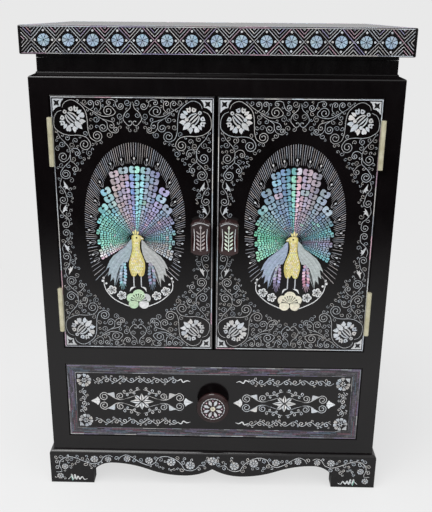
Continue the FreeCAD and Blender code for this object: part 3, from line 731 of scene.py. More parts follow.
def sprig(pen, top):
    """A bud between two fine leaves beyond a feather's tip."""
    pen.plate(leaf(1j * (top + 4.4), 1j * (top + 6.8), 1.5, 0.55), SILVER, 0.1)
    pen.stroke([1j * (top + 0.5), 1j * (top + 4.5)], 0.34, GREY)
    for side in (1, -1):
        blade = smooth([1j * (top + 0.7), side * 1.3 + 1j * (top + 2.2), side * 1.9 + 1j * (top + 4.6)], 4)
        pen.stroke(blade, 0.3, GREY, end=0.4)


def halo(pen):
    """Fine lines from the feathers out to an even oval edge, more open at the bottom."""
    turns = np.linspace(-HALO_FLANK, HALO_FLANK, 1200)
    edge = np.array([FAN_ROOT + halo_reach(turn) * upward(turn) for turn in turns])
    run = np.concatenate([[0], np.cumsum(np.abs(np.diff(edge)))])
    close = np.interp(np.arange(0, run[-1], HALO_PITCH), run, turns)
    tips, reaches, _, sprigs = zip(*FEATHERS)
    for degrees in np.concatenate([-HALO_OPEN, close, HALO_OPEN]):
        first = float(np.interp(abs(degrees), tips, reaches)) + HALO_CLEAR
        off = min(abs(abs(degrees) - tip) for tip, sprigged in zip(tips, sprigs) if sprigged)
        if off * first < SPRIG_SPAN:
            first += SPRIG_ROOM
        last = halo_reach(degrees)
        if last - first > HALO_SHORTEST:
            line = FAN_ROOT + upward(degrees) * np.linspace(first, last, 4)
            pen.stroke(line, 0.42, 1.1 * GREY, 0.25, start=0.4)


def tail_fan(pen, palette, seen):
    """The spread tail. seen is 1 where across runs to the right as seen, and -1 where it runs to the left."""
    for order, (tip, reach, low, sprigged) in enumerate(FEATHERS):
        for hand in (1, -1) if order else (1,):
            feather(pen, order, hand, palette, seen)
            if sprigged:
                sprig(pen.at(FAN_ROOT, turn=-hand * math.radians(tip)), reach)
    halo(pen)


BIRD_AXIS = 0.85  # across, of the line that the bird's two sides mirror in
BIRD_BODY = [-3.1-6.1j, -3.1-10.2j, -2.8-16j, -3.7-20.7j, -5.6-27.6j, -5.9-32.4j, -4.9-37.7j,
             -3.5-40.8j, -0.6-40.5j, 0.9-38j, 2.5-40.5j, 5.4-40.6j, 6.9-37.1j, 7.5-32.4j,
             7-27.6j, 5.3-22.5j, 3.8-18.2j, 3.4-14.8j, 3.7-10.8j, 4.7-9.1j, 6.6-8.3j, 4.4-5.4j,
             1.2-4.4j, -1.9-4.8j]
BEAK = [3.9-6j, 7-8j, 4.4-8.2j]
BREAST_ROWS = 24
BREAST_TOP = -8.6
BREAST_STEP = 1.36
BREAST_PITCH = 1.75  # across, and a feather's length
BREAST_LEVELS = [8, 14, 18, 24, 30, 36, 41]  # depths under the middle of the door
BREAST_REACH = [2.4, 2.3, 2.7, 4.6, 5.9, 5.2, 3.6]  # half the breast's width there
BREAST_TINTS = [GOLD, GOLD, CREAM]
THIGHS = -37.4  # level below which the breast parts in two
WING = [-3.2-8.2j, -5.9-10.8j, -8.7-15.2j, -14.2-19.4j, -18.8-23j, -22.2-27.6j, -25.2-34.6j,
        -22.2-32.9j, -24-41j, -20.8-38j, -22-45.8j, -18.8-41.8j, -18.6-50.4j, -17.2-43.6j,
        -15.8-38j, -13.4-31.8j, -10.8-28.6j, -7-28.4j, -5.9-25.8j, -3.9-20.6j, -3.1-15j]
WING_SPINES = [(-6.4-14j, -23.2-33j), (-6-16.5j, -22.6-39.4j), (-5.6-19j, -20.8-43.8j),
               (-5.6-21.5j, -18.4-48j), (-5.2-12j, -20.6-28j), (-5.4-23.8j, -13.6-31j)]
PLUME_TOP = -10.6 - 28.8j
PLUME_STEP = -0.16 - 2.75j
PLUME_REACH = [1.5, 2.3, 2.9, 3.2, 3.2, 2.9, 2.5]
PLUME_FRAYS = [-14.4-50.4j, -13-52.6j, -11.6-53.4j, -10.2-52.4j, -8.8-50j]


def wing(pen, tint):
    """A lowered wing with quills, each drawn as a painted shade line with a painted highlight beside it."""
    pen.plate(WING, tint, lift=0.02)
    for base, tip in WING_SPINES:
        bow = smooth([base, 0.5 * (base + tip) - 1.2 + 0.9j, tip], 6)
        # darker line along the quill: painted shade
        pen.stroke(bow, 0.26, 0.66 * tint, start=0.5, end=0.5, lift=0.04)
        # lighter stroke just beside it: painted highlight
        pen.stroke(bow + 1.0 - 0.4j, 0.5, np.clip(1.12 * tint, 0, BRIGHTEST), start=0.3, end=0.3, lift=0.03)


def plume(pen, tints):
    """A hanging side plume of paired scales with a frayed end."""
    for row, reach in enumerate(PLUME_REACH):
        middle = PLUME_TOP + row * PLUME_STEP
        for side in (1, -1):
            scale = leaf(middle + side * 0.25, middle + side * reach - 2.7j, 2.5, 0.58)
            pen.plate(scale, pen.draws.choice(tints), 0.2)
    for end in PLUME_FRAYS:
        pen.stroke([complex(0.5 * end.real - 5.8, -47.4), end], 0.6, tints[0] * 0.7, 0.2, end=0.4)


def breast(pen):
    """Small overlapping feathers down the bird's neck and breast."""
    for row in range(BREAST_ROWS):
        level = BREAST_TOP - BREAST_STEP * row
        reach = float(np.interp(-level, BREAST_LEVELS, BREAST_REACH))
        count = max(3, round(2 * reach / BREAST_PITCH))
        for i in range(count):
            off = 0.92 * reach * (2 * (i + 0.5 * (row % 2)) / count - 1)
            if abs(off) < 0.95 * reach and (level > THIGHS or abs(off) > 1.8):
                top = complex(BIRD_AXIS + off, level + 0.7)
                tip = top - 1j * BREAST_PITCH
                pen.plate(leaf(top, tip, 1.5, 0.6, 5), pen.draws.choice(BREAST_TINTS), 0.12, lift=0.08)


def bird(pen, wing_tints, plume_tints):
    """The bird with lowered wings and its two plumes."""
    for flip in (False, True):
        half = pen.at(BIRD_AXIS, flip_u=flip).at(-BIRD_AXIS)
        wing(half, wing_tints[flip])
        plume(half, plume_tints[flip])
    pen.plate(smooth(BIRD_BODY, 3, closed=True), AMBER, lift=0.05)
    breast(pen)
    for side in (-1, 0, 1):
        crest = leaf(0.4 + side - 4.9j, complex(0.1 + 2.3 * side, 0.2 - 1.5 * abs(side)), 1.6, 0.6)
        pen.plate(crest, GOLD, 0.08, lift=0.05)
    pen.disc(0.7-7j, 2.7, GOLD, count=14, lift=0.07)
    pen.plate(BEAK, CREAM, lift=0.08)
    pen.disc(0.9-7j, 0.75, INK, count=9, lift=0.09)
    pen.stroke(smooth([4.2-8.7j, 5.6-8.9j, 6.3-8.6j], 3), 0.55, INK, lift=0.09)
    for x in (-2.3, 3.9):
        pen.stroke([complex(x, -40.2), complex(x, -45), complex(x + 0.1, -50.4)], 0.85, SILVER, 0.05)


WREATH_STEMS = [[-27.6-44j, -27.3-49j, -25.4-54.4j, -19.9-61.2j, -10.9-66.4j, -5.4-68.4j],
                [29.6-44j, 30.4-50j, 28.2-55.4j, 20.6-62.6j, 12.4-66.8j, 8.4-68.3j]]
WREATH_BUDS = [-27.7-42.6j, -28.6-45.4j, -25.6-47.6j, 29.5-42.4j, 30.4-45.4j, 27.6-47.8j]
WREATH_BLOSSOMS = [-20.9-53.4j, -12.8-58.2j, 16.8-58.2j, 24.4-54j]
WREATH_LEAVES = [(-6-54.8j, -0.6-50.4j, 1.4), (8.2-54.8j, 3.6-50.3j, -1.4)]  # base, tip and bend
BIG_FLOWER = 1.4 - 61.2j
BIG_PETALS = [(-4.4-4.7j, 4.2), (4.4-4.7j, 4.2), (-6.1+0.7j, 4.1), (6.1+0.7j, 4.1), (3.2j, 5.3)]  # place, radius
STAMEN_ROOT = BIG_FLOWER - 2.4j
STAMEN_LIFT = 0.14


def wreath(pen, flower_tints):
    """The arching spray that the bird stands on, with blossoms each side of one large flower."""
    for points in WREATH_STEMS:
        pen.stroke(smooth(points, 5), 0.7, WHITE, start=0.7)
    for bud in WREATH_BUDS:
        pen.disc(bud, 0.95, WHITE, count=9)
    for place in WREATH_BLOSSOMS:
        blossom(pen.at(place, turn=0.3), 4.2, WHITE)
    for base, tip, bend in WREATH_LEAVES:
        pen.plate(leaf(base, tip, 1.5, 0.5, bend=bend), WHITE)
    for order, ((place, radius), tint) in enumerate(zip(BIG_PETALS, flower_tints)):
        pen.disc(BIG_FLOWER + place, radius, tint, 0.04, count=18, lift=0.02 * order)
    for degrees in (-78, -60, -38, -18, 0, 18, 38, 60, 78):
        way = upward(degrees)
        pen.stroke(STAMEN_ROOT + way * np.linspace(1.8, 6.2, 3), 0.45, INK, start=0.4, lift=STAMEN_LIFT)
        pen.disc(STAMEN_ROOT + 6.6 * way, 0.62, INK, count=7, lift=STAMEN_LIFT)
    for side in (-1, 1):
        edge = smooth([BIG_FLOWER - 2.6j, BIG_FLOWER + 3.6 * side - 1.6j, BIG_FLOWER + 9.4 * side - 2.4j], 4)
        pen.stroke(edge, 0.4, 0.35 * flower_tints[0], lift=STAMEN_LIFT)


DOOR_LOOKS = {  # the fan's colours, and the tints of the wings, plumes and large flower
    "left": (FAN_LEFT, (shade(168, 183, 192), shade(186, 188, 188)), ((CYAN, ICE, STEEL), (STEEL, MAUVE, LILAC)),
             (SAGE, WHITE, SAGE, SILVER, SAGE)),
    "right": (FAN_RIGHT, (shade(182, 190, 190), shade(164, 178, 200)),
              ((PINK, ROSE, LILAC), (LILAC, MAUVE, SILVER)), (CREAM,) * len(BIG_PETALS)),
}
for side, (palette, wing_tints, plume_tints, flower_tints) in DOOR_LOOKS.items():
    inlay = Inlay("door_panel_" + side, "front", "door " + side)
    door_pen = Pen(inlay).at(flip_u=side == "right")
    scroll_border(door_pen)
    tail_fan(door_pen, palette, 1 if side == "left" else -1)
    bird(door_pen, wing_tints, plume_tints)
    wreath(door_pen, flower_tints)
    inlay.build("inlay_door_" + side, side + "_door")


# Drawer front. Each line of its border has its inset and width.

STRIP_LINES = [(1.25, 0.75), (2.35, 0.70), (3.45, 0.75), (4.55, 0.70), (5.65, 0.75), (6.75, 0.65), (7.9, 0.40)]
STRIP_TINTS = [0.8 * ASH, 0.7 * SMOKE, 0.8 * SMOKE, 0.4 * MAUVE, 0.35 * STEEL, 0.26 * ROSE, 0.7 * ASH,
               0.32 * LILAC, 0.9 * SMOKE]
STRIP_EDGE_TINTS = [0.8 * GREY, 0.8 * ASH, 0.7 * SILVER, 0.7 * MAUVE]
LOTUS_PLATE = [-5.8-5.8j, -1.6-5.6j, -3.2-3.2j, -5.6-1.6j]
LOTUS_AT = -114.2 - 20.2j
VINE_AT = -106.0 - 20.8j  # of the long vine, which runs across
VINE = (74.4, 2.2, 7.44, 2.3)  # its length, wave, pitch and radius of curls
VINE_TAIL = smooth(VINE[0] + np.array([0, 3.2-1.6j, 5+1.2j, 8.2-0.4j, 11.4+0.5j]), 5)
SIDE_VINE_AT = -114.8 - 12.4j  # of the short one, which runs up
SIDE_VINE = (12.0, 1.8, 6.0, 2.0)
VINE_REACH = 4.9  # half the width of the band that a vine's curls fill
VINE_CURLS = [(1.5, 60), (1.2, 80)]
LOZENGE_AT = -63.4 - 0.3j
ARM = np.array([0.10+0.03j, 0.30+0.17j, 0.50+0.19j, 1+0.01j, 0.7+0.04j, 0.4+0.05j])
SPRAY = tendril([5.6+5.9j, 10.5+3.9j, 14.5+2.6j, 18.9+1.6j, 23.3+2.6j, 27.7+5.6j, 32.4+8.4j],
                33.6+4.4j, -1, 1.6)
SPRAY_INNER = tendril([12+3.3j, 15.5+2.3j, 19+1.8j], 19.2+5.3j, 1, 1.5)
SPRAY_SAIL = [24+3.4j, 24.4+8.6j, 25.6+8.8j, 30.2+7.5j, 27.2+5.6j]
SPRAY_POINT = [37.6+0.1j, 37.4+1j, 39.2+4.2j, 40.8+2.6j, 45.2+0.1j]
RIDGE = smooth([16.2+7.8j, 12+8.3j, 8.4+9j, 5.2+10.8j, 1.4+12j], 5)
# Each curl on a ridge has its centre, radius, start angle and hand.
RIDGE_CURLS = [(15.2+9.9j, 1.8, 4.4, 1), (12.6+6.4j, 1.4, 1.8, -1), (9.2+11j, 1.8, 4.4, 1),
               (6.4+8j, 1.3, 2.0, -1), (3.6+13.2j, 1.6, 4.2, 1)]


def lotus(pen):
    """A round lotus with a small plate towards the corner."""
    for i in range(8):
        way = ray(math.radians(-84 + 258 * i / 7))
        pen.plate(petal(2.9 * way, 6.4 * way, 2.9), 0.85 * SILVER, 0.25)
        pen.stroke([3.6 * way, 5.6 * way], 0.4, INK, end=0.3, lift=CUT)
    for i in range(6):
        way = ray(TAU * i / 6)
        pen.plate(leaf(0.5 * way, 2.5 * way, 1.0, 0.6), SILVER, 0.14)
    pen.plate(LOTUS_PLATE, 0.8 * SILVER, 0.1)


def vine(pen, length, wave, pitch, radius):
    """A waving stem along the across direction with a curl in each bend and small ones outside."""
    line = np.linspace(0, length, int(length))
    stem = line + 1j * wave * np.sin(math.pi * line / pitch)
    pen.stroke(stem, 0.5, SILVER, 0.05, start=0.6)
    seats = []
    for i in range(int(length / pitch)):
        side = 1 if i % 2 == 0 else -1
        centre = complex((i + 0.5) * pitch + 0.4, side * (wave - radius - 0.25))
        curl(pen, (centre, radius, side * math.pi / 2, -side), SILVER, 0.15, 0.48, 1.0)
        seats.append((centre, radius, -side))

    def free(centre, reach):
        return reach < centre.real < length and abs(centre.imag) + reach < VINE_REACH

    draw_curls(pen, grow(pen, [stem], seats, free, VINE_CURLS, 0.3), 0.9 * SILVER)


def lozenge(pen):
    """A full eight-point star between two pointed sprays of spirals."""
    for quarter in range(4):
        way = ray(quarter * math.pi / 2)
        reach = 10.5 if quarter % 2 == 0 else 8.2
        for arm in (ARM, np.conj(ARM)):
            pen.plate(way * (reach * arm.real + 9.6j * arm.imag), WHITE, 0.08)
        diagonal = ray((quarter + 0.5) * math.pi / 2)
        for side in (1, -1):
            base, tip = diagonal * (2.8 + 0.4j * side), diagonal * (8.1 + 0.5j * side)
            pen.plate(leaf(base, tip, 1.5, 0.58, bend=0.6 * side), SILVER, 0.1)
    for flip_u, flip_v in QUARTERS:
        part = pen.at(flip_u=flip_u, flip_v=flip_v)
        tint = pen.vary(0.9 * SILVER, 0.12)
        part.stroke(SPRAY, 0.58, tint, start=0.4)
        part.stroke(SPRAY_INNER, 0.56, tint, start=0.4)
        part.plate(SPRAY_SAIL, SILVER, 0.15)
        part.plate(SPRAY_POINT, WHITE, 0.08)
        part.stroke(RIDGE, 0.5, tint, start=0.4, end=0.5)
        for seat in RIDGE_CURLS:
            curl(part, seat, SILVER, 0.12, 0.46, 0.85)
        part.plate(leaf(9.4+9j, 6.6+8.4j, 1.1, 0.5), tint)


def drawer_inlay():
    inlay = Inlay("drawer_front", "front", 21)
    pen = Pen(inlay)
    for order, (inset, width) in enumerate(STRIP_LINES):
        tints = STRIP_EDGE_TINTS if order in (0, len(STRIP_LINES) - 1) else STRIP_TINTS
        border(pen, inset, width, tints, 4, 15)
    for flip_u in (False, True):
        part = pen.at(flip_u=flip_u)
        lozenge(part.at(LOZENGE_AT))
        for flip_v in (False, True):
            corner = part.at(flip_v=flip_v)
            lotus(corner.at(LOTUS_AT))
            vine(corner.at(VINE_AT), *VINE)
            corner.at(VINE_AT).stroke(VINE_TAIL, 0.9, WHITE, start=0.6, end=0.2)
            vine(corner.at(SIDE_VINE_AT, turn=math.pi / 2), *SIDE_VINE)
    inlay.build("inlay_drawer", "drawer")


drawer_inlay()


# Lid edges and top

LATTICE_PITCH = 18.57
LATTICE_SLOPE = 1.05
LATTICE_LINE = 0.44
LATTICE_TINTS = [0.85 * SILVER, 0.8 * SILVER, 0.75 * SILVER, SILVER, 0.9 * GREY, LILAC * 0.7, PINK * 0.65]
LATTICE_SHORTEST = 0.7
EDGE_INSET = 2.0 + 0.9j  # of the border lines, from the ends and from the top and bottom
CHEVRON_STEP = 2.75
CHEVRONS = 5
DISC_R = 4.45
DISC_TINT = shade(164, 185, 203)
DIAMOND_DOTS = (6.5, -6.5, 6.9j, -6.9j)
LID_DISCS = {"front": 15, "left": 10, "right": 10}
LID_LINES = [(2.2, 0.8), (3.5, 0.8), (4.8, 0.8), (6.1, 0.5)]  # inset and width
LID_TINTS = [SILVER, LILAC, GREY, ICE, PINK]


def lattice(pen, count):
    """Spoked discs in diamonds with nested chevrons between them, along one edge of the lid."""
    draws = pen.draws
    rise = pen.inlay.half.imag - EDGE_INSET.imag
    edge = pen.inlay.half.real - EDGE_INSET.real
    for sign in (1, -1):
        strip(pen, complex(-edge, sign * rise), complex(edge, sign * rise), LATTICE_LINE, LATTICE_TINTS, 8, 24)
    first = -LATTICE_PITCH * (count - 1) / 2
    for i in range(count):
        spot = pen.at(first + i * LATTICE_PITCH)
        wheel(spot.at(turn=TAU / 16), DISC_R, DISC_TINT, gap=0.5)
        for dot in DIAMOND_DOTS:
            spot.disc(dot, 0.85, SILVER, 0.15, count=9)
    top = rise - 0.5

    def line(start, way):
        """A lattice line from a point, cut off at the band's top, bottom and ends."""
        run = min((top - abs(start.imag)) / LATTICE_SLOPE, edge - way.real * start.real)
        if run > LATTICE_SHORTEST:
            end = start + complex(way.real * run, way.imag * run * LATTICE_SLOPE)
            pen.stroke([start, end], LATTICE_LINE, draws.choice(LATTICE_TINTS), 0.15)

    for i in range(count + 1):
        crossing = first + (i - 0.5) * LATTICE_PITCH
        for up in (1, -1):
            for step in range(CHEVRONS):
                for side in (1, -1):
                    line(complex(crossing, up * step * CHEVRON_STEP), complex(side, up))
            if i in (0, count):
                out = -1 if i == 0 else 1
                for step in range(1, CHEVRONS):
                    line(complex(crossing + out * step * CHEVRON_STEP / LATTICE_SLOPE, 0), complex(out, up))


def lid_inlay():
    for side, count in LID_DISCS.items():
        inlay = Inlay("lid_board", side, "lid " + side)
        lattice(Pen(inlay), count)
        inlay.build("inlay_lid_" + side, "lid")
    inlay = Inlay("lid_board", "top", "lid top")
    for inset, width in LID_LINES:
        border(Pen(inlay), inset, width, LID_TINTS, 5, 18)
    inlay.build("inlay_lid_top", "lid")


lid_inlay()


# Plinth. A half of each apron is drawn from its middle to the left and mirrored.

APRON_TOP = 30.4  # level that the curls stay under
APRON_ROOM = 1.6  # from the sawn edge to the curls
APRON_END = 2.6  # from the apron's end to the curls
APRON_MIDDLE = 1.0  # from its middle to the curls
FOOT_ROOM = 1.2  # from the foot's inner side to the curls
FOOT_HIGH = 14  # level up to which that side is upright
RIBBON_OUT = 23.3  # from there to the ribbon's start
APRON_CURLS = [(2.3, 120), (1.9, 220), (1.6, 300), (1.3, 160)]
RIBBON = smooth([3.2j, 2.2+5.6j, 3.4+8.4j, 4.6+3.2j, 6.2+8.2j, 7.4+3j, 9+6.6j, 10.6+3.4j,
                 12.8+6j, 14.8+3.2j, 17.6+4j], 5)
RIBBON_ROOM = (4, 25, 10)  # how far beyond the foot's side it starts and ends, and how high it is
# Each apron has its discs, its stems, and the levels of its sawn edge from the middle to the foot's side.
FRONT_APRON = (
    [(-107.8, 25.2, 3.4), (-95.3, 25.4, 2.8), (-77.9, 26.1, 3.0), (-57.9, 24.7, 3.4), (-37.7, 23.4, 3.9),
     (-20.2, 20.3, 4.1), (-135.2, 16.9, 2.9), (-140.0, 6.6, 2.9)],
    [smooth([-143.6+10.8j, -138.4+11.6j, -140.2+18j, -138.6+23.6j, -132+27.2j, -124.6+26j,
             -115.4+22j, -108.4+20.2j, -102.4+22.6j, -99.4+27.4j, -95+29.6j, -91+28j], 4),
     smooth([-86+24.4j, -83.6+28.2j, -78.6+30.2j, -73.4+28j, -68+24j, -63.4+21.4j,
             -58.2+19.8j, -52.8+22.2j, -49.6+27.2j, -44.6+29.2j, -38.6+28.6j, -32+25j,
             -28+20.6j, -25.2+15.8j, -20+14.6j, -14.8+16.6j, -11.6+20.6j, -6.6+19.4j], 4)],
    ([0, 6, 13, 26, 40, 55, 70, 86, 97, 104, 108, 109.5],
     [16.5, 13.6, 11.2, 9.2, 10.4, 14.2, 18.6, 21.8, 20.8, 16.0, 9.0, 0]),
)
SIDE_APRON = (
    [(-86.6, 16.9, 2.9), (-91.4, 6.6, 2.9), (-62.0, 26.0, 3.2), (-47.0, 26.2, 2.8), (-30.0, 24.6, 3.2),
     (-13.0, 20.2, 3.6)],
    [smooth([-94.8+10.6j, -89.8+11.6j, -91.4+18j, -90+23.6j, -83.4+27.4j, -76+26j, -68+21.8j,
             -62+21.2j, -56.6+24j, -52.6+28.4j, -47+30.2j, -41.8+28j, -37+24.2j, -31+19.9j,
             -25+22.2j, -21.4+26.2j, -16+26.4j, -9+22.8j, -5+20.8j], 4)],
    ([0, 13, 26, 45, 57, 60.5], [16.5, 10.5, 14.5, 21.8, 16, 0]),
)


def flower_disc(pen, radius):
    """A disc of outer wedges round a small bright middle."""
    wheel(pen, radius, 0.9 * SILVER, 8, 0.6, 0.44)
    wheel(pen, 0.30 * radius, SILVER, 3, 0.2)


def apron_half(pen, discs, stems, edge):
    """Discs on waving stems with curls between the edges, and a wavy white ribbon near the bottom of the foot."""
    foot = edge[0][-1]
    end = pen.inlay.half.real - APRON_END
    ribbon_start, ribbon_end, ribbon_high = RIBBON_ROOM

    def free(centre, radius):
        x, z = abs(centre.real), centre.imag
        if z + radius > APRON_TOP or x + radius > end or centre.real + radius > -APRON_MIDDLE:
            return False
        if foot + ribbon_start < x < foot + ribbon_end and z - radius < ribbon_high:
            return False
        low = max(np.interp([x - radius, x, x + radius], *edge))
        return z - radius > low + APRON_ROOM and not (x < foot + FOOT_ROOM + radius and z < FOOT_HIGH)

    for x, z, radius in discs:
        flower_disc(pen.at(complex(x, z), turn=pen.draws.uniform(0, 1)), radius)
    for stem in stems:
        pen.stroke(stem, 0.5, SILVER, 0.08, start=0.6, end=0.6)
    seats = [(complex(x, z), radius + 0.4, 1) for x, z, radius in discs]
    draw_curls(pen, grow(pen, stems, seats, free, APRON_CURLS), SILVER)
    place = pen.at(-foot - RIBBON_OUT)
    place.stroke(RIBBON, 1.0, WHITE, 0.06, start=0.4, end=0.3)
    place.stroke(RIBBON[6:24] - 0.6 - 1.2j, 0.5, MINT, 0.1, start=0.4, end=0.4)


for side, shapes in (("front", FRONT_APRON), ("left", SIDE_APRON), ("right", SIDE_APRON)):
    inlay = Inlay("apron_" + side, side, "apron " + side)
    apron_pen = Pen(inlay).at(complex(0, -inlay.half.imag))
    for flip_u in (False, True):
        apron_half(apron_pen.at(flip_u=flip_u), *shapes)
    flower_disc(apron_pen.at(25.2j), 4.2)
    inlay.build("inlay_apron_" + side, "cabinet")


# Pulls and knob

PULL_HALF_H = 14.3
PULL_HOLLOW = 2.2
PULL_OUT = 10.0
PULL_CURVE = (PULL_HALF_H ** 2 + PULL_HOLLOW ** 2) / (2 * PULL_HOLLOW)
KNOB_PIECES = 24  # in the ring on the knob
KNOB_GAP = 0.03  # half the angle between them


def pull_depth(points):
    """How far the hollow front of a pull stands out from the door at each level."""
    return PULL_OUT - PULL_HOLLOW + PULL_CURVE - np.sqrt(PULL_CURVE ** 2 - points.imag ** 2)


def pull_inlay(side, tint):
    """A leafy sprig between two bowed lines on the hollow front of a pull."""
    inlay = Inlay("pull_" + side, "front", "pull " + side, pull_depth)
    pen = Pen(inlay)
    pen.stroke(smooth([-6.6+10.9j, -3.4+12.5j, 13.1j, 3.4+12.5j, 6.6+10.9j], 5), 0.6, SILVER, 0.05)
    pen.stroke(1j * np.linspace(-10.6, 7.6, 14), 0.75, tint, 0.05)
    pen.plate(leaf(7.4j, 11.2j, 1.9, 0.5), tint, 0.05)
    for level in (-9.6, -6.4, -3.2, 0.0, 3.2):
        for sign in (1, -1):
            base, tip = complex(0.3 * sign, level), complex(3.5 * sign, level + 3.0)
            pen.plate(leaf(base, tip, 1.35, 0.55, bend=-0.3 * sign), tint, 0.12)
    for sign in (1, -1):
        bow = smooth([complex(5.4 * sign, 8.4), complex(4.9 * sign, 0), complex(5.4 * sign, -10.4)], 8)
        pen.stroke(bow, 0.6, SILVER, 0.08, start=0.6)
    inlay.build("inlay_pull_" + side, side + "_door")


def knob_inlay():
    """A rosette inside a pieced ring on the knob's flat face."""
    inlay = Inlay("drawer_knob", "front", "knob")
    pen = Pen(inlay)
    step = TAU / KNOB_PIECES
    for i in range(KNOB_PIECES):
        start, end = i * step + KNOB_GAP, (i + 1) * step - KNOB_GAP
        pen.plate(np.concatenate([arc(0, 10.4, start, end, 4), arc(0, 9.8, end, start, 4)]), SILVER, 0.12)
    for i in range(8):
        way = ray(TAU * (i + 0.5) / 8)
        pen.plate(leaf(2.9 * way, 8.7 * way, 2.7, 0.58), SILVER, 0.1)
        pen.disc(7.9 * ray(TAU * i / 8), 0.6, PINK, 0.06, count=8)
    wheel(pen, 2.2, CREAM, 8, 0.3)
    inlay.build("inlay_knob", "drawer")


pull_inlay("left", shade(180, 172, 172))
pull_inlay("right", 0.5 * (WHITE + SAGE))
knob_inlay()


# Bead at the foot of the neck under the lid

BEAD_R = 0.9


def neck_bead():
    """A fine quarter-round along the front and sides, mitred at the corners and let a little into the boards."""
    low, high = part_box("neck_front")
    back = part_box("neck_left")[1].y
    section = np.concatenate([[-0.3 + BEAD_R * 1j], arc(0, BEAD_R, TAU / 4, -0.45, 8), [-0.3-0.4j]]) * MM
    verts = []
    for sign, y, front in ((-1, back, 0), (-1, low.y, 1), (1, low.y, 1), (1, back, 0)):
        verts += [(sign * (high.x + spot.real), y - front * spot.real, low.z + spot.imag) for spot in section]
    ring = len(section)
    faces = [tuple(range(ring - 1, -1, -1)), tuple(range(3 * ring, 4 * ring))]
    for run in range(3):
        for i in range(ring):
            a, b = run * ring + i, run * ring + (i + 1) % ring
            faces.append((a, b, b + ring, a + ring))
    piece = make_piece("neck_bead", verts, faces, FINISHES["black_lacquer"])
    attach(piece, "cabinet")


neck_bead()


# Velvet pads in the tray and the drawer, in metres

PAD_RISE = 0.0012  # of the crown
PAD_SHOULDER = 0.004  # width of the rounded edge
PAD_EDGE = 0.0004  # thickness at the very edge
PAD_PULL_IN = 0.0009  # of the middle of each side
PAD_RIPPLE = 0.00025
PAD_WAVES = 60  # ripples in a metre
PAD_COLUMNS, PAD_ROWS = 72, 48


def pad(name, node, body, seed):
    """A thin crowned velvet pad with softly wavering edges, in the place of a lining."""
    low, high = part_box(node)
    rng = random.Random(seed)
    offset = Vector((rng.uniform(0, 50), rng.uniform(0, 50), 0))

    def spot(i, j, top):
        u, v = 2 * i / PAD_COLUMNS - 1, 2 * j / PAD_ROWS - 1
        x = (low.x + high.x) / 2 + u * ((high.x - low.x) / 2 - PAD_PULL_IN * (1 - v * v) * abs(u) ** 3)
        y = (low.y + high.y) / 2 + v * ((high.y - low.y) / 2 - PAD_PULL_IN * (1 - u * u) * abs(v) ** 3)
        if not top:
            return (x, y, low.z)
        edge = min((1 - abs(u)) * (high.x - low.x), (1 - abs(v)) * (high.y - low.y)) / 2
        shoulder = math.sqrt(max(0.0, 1 - (1 - min(edge / PAD_SHOULDER, 1)) ** 2))
        ripple = noise.noise(Vector((x * PAD_WAVES, y * PAD_WAVES, 0)) + offset) * PAD_RIPPLE
        crown = PAD_RISE * (1 - u ** 4) * (1 - v ** 4)
        return (x, y, low.z + PAD_EDGE + (high.z - low.z + crown + ripple - PAD_EDGE) * shoulder)

    width = PAD_COLUMNS + 1
    verts = [spot(i, j, top) for top in (True, False) for j in range(PAD_ROWS + 1) for i in range(width)]
    under = len(verts) // 2
    faces = []
    for j in range(PAD_ROWS):
        for i in range(PAD_COLUMNS):
            a = j * width + i
            faces.append((a, a + 1, a + width + 1, a + width))
            faces.append((under + a + width, under + a + width + 1, under + a + 1, under + a))
    ring = list(range(PAD_COLUMNS))
    ring += [j * width + PAD_COLUMNS for j in range(PAD_ROWS)]
    ring += [PAD_ROWS * width + i for i in range(PAD_COLUMNS, 0, -1)]
    ring += [j * width for j in range(PAD_ROWS, 0, -1)]
    faces += [(a, under + a, under + b, b) for a, b in zip(ring, ring[1:] + ring[:1])]
    piece = make_piece(name, verts, faces, FINISHES["velvet"])
    piece.data.shade_smooth()
    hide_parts(node)
    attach(piece, body)


pad("pad_tray", "tray_lining", "cabinet", 51)
pad("pad_drawer", "drawer_lining", "drawer", 52)


# Floor, light and camera

PALE = (*shade(233, 233, 233), 1)
SKY = (0.64, 0.65, 0.66, 1)
ROOM = (0.02, 0.02, 0.02, 1)
FLOOR_LIT = (0.80, 0.80, 0.80, 1)  # where the camera sees the shadow
FLOOR_NEAR = (0.45, 0.45, 0.45)  # in reflections, by the object
FLOOR_FAR = (0.01, 0.01, 0.01)  # in reflections, towards the viewer
FLOOR_CORNERS = [(-4, -2, 0), (4, -2, 0), (4, 4, 0), (-4, 4, 0)]
FLOOR_LEVEL = -0.0004
LAMPS = [  # name, place, target, size and power
    ("key", (-0.55, -1.15, 1.45), (0, 0, 0.2), (1.1, 1.1), 14),
    ("fill", (1.1, -1.1, 1.0), (0, 0, 0.2), (1.0, 1.0), 6.5),
    ("overhead", (-0.35, -0.35, 1.7), (-0.1, -0.1, 0.2), (0.6, 1.0), 13),
]
PHOTO_W, PHOTO_H = 432, 512  # pixels
FOCAL = 717.96  # pixels
VIEW_CENTRE = (209.06, 255.31)  # where the camera's axis meets the photograph, in pixels
SENSOR = 36
CAMERA_AT = (0.00516, -0.65736, 0.41344)
CAMERA_TURN = (18.76, -0.99, 0.46)  # degrees of pitch down, yaw and roll


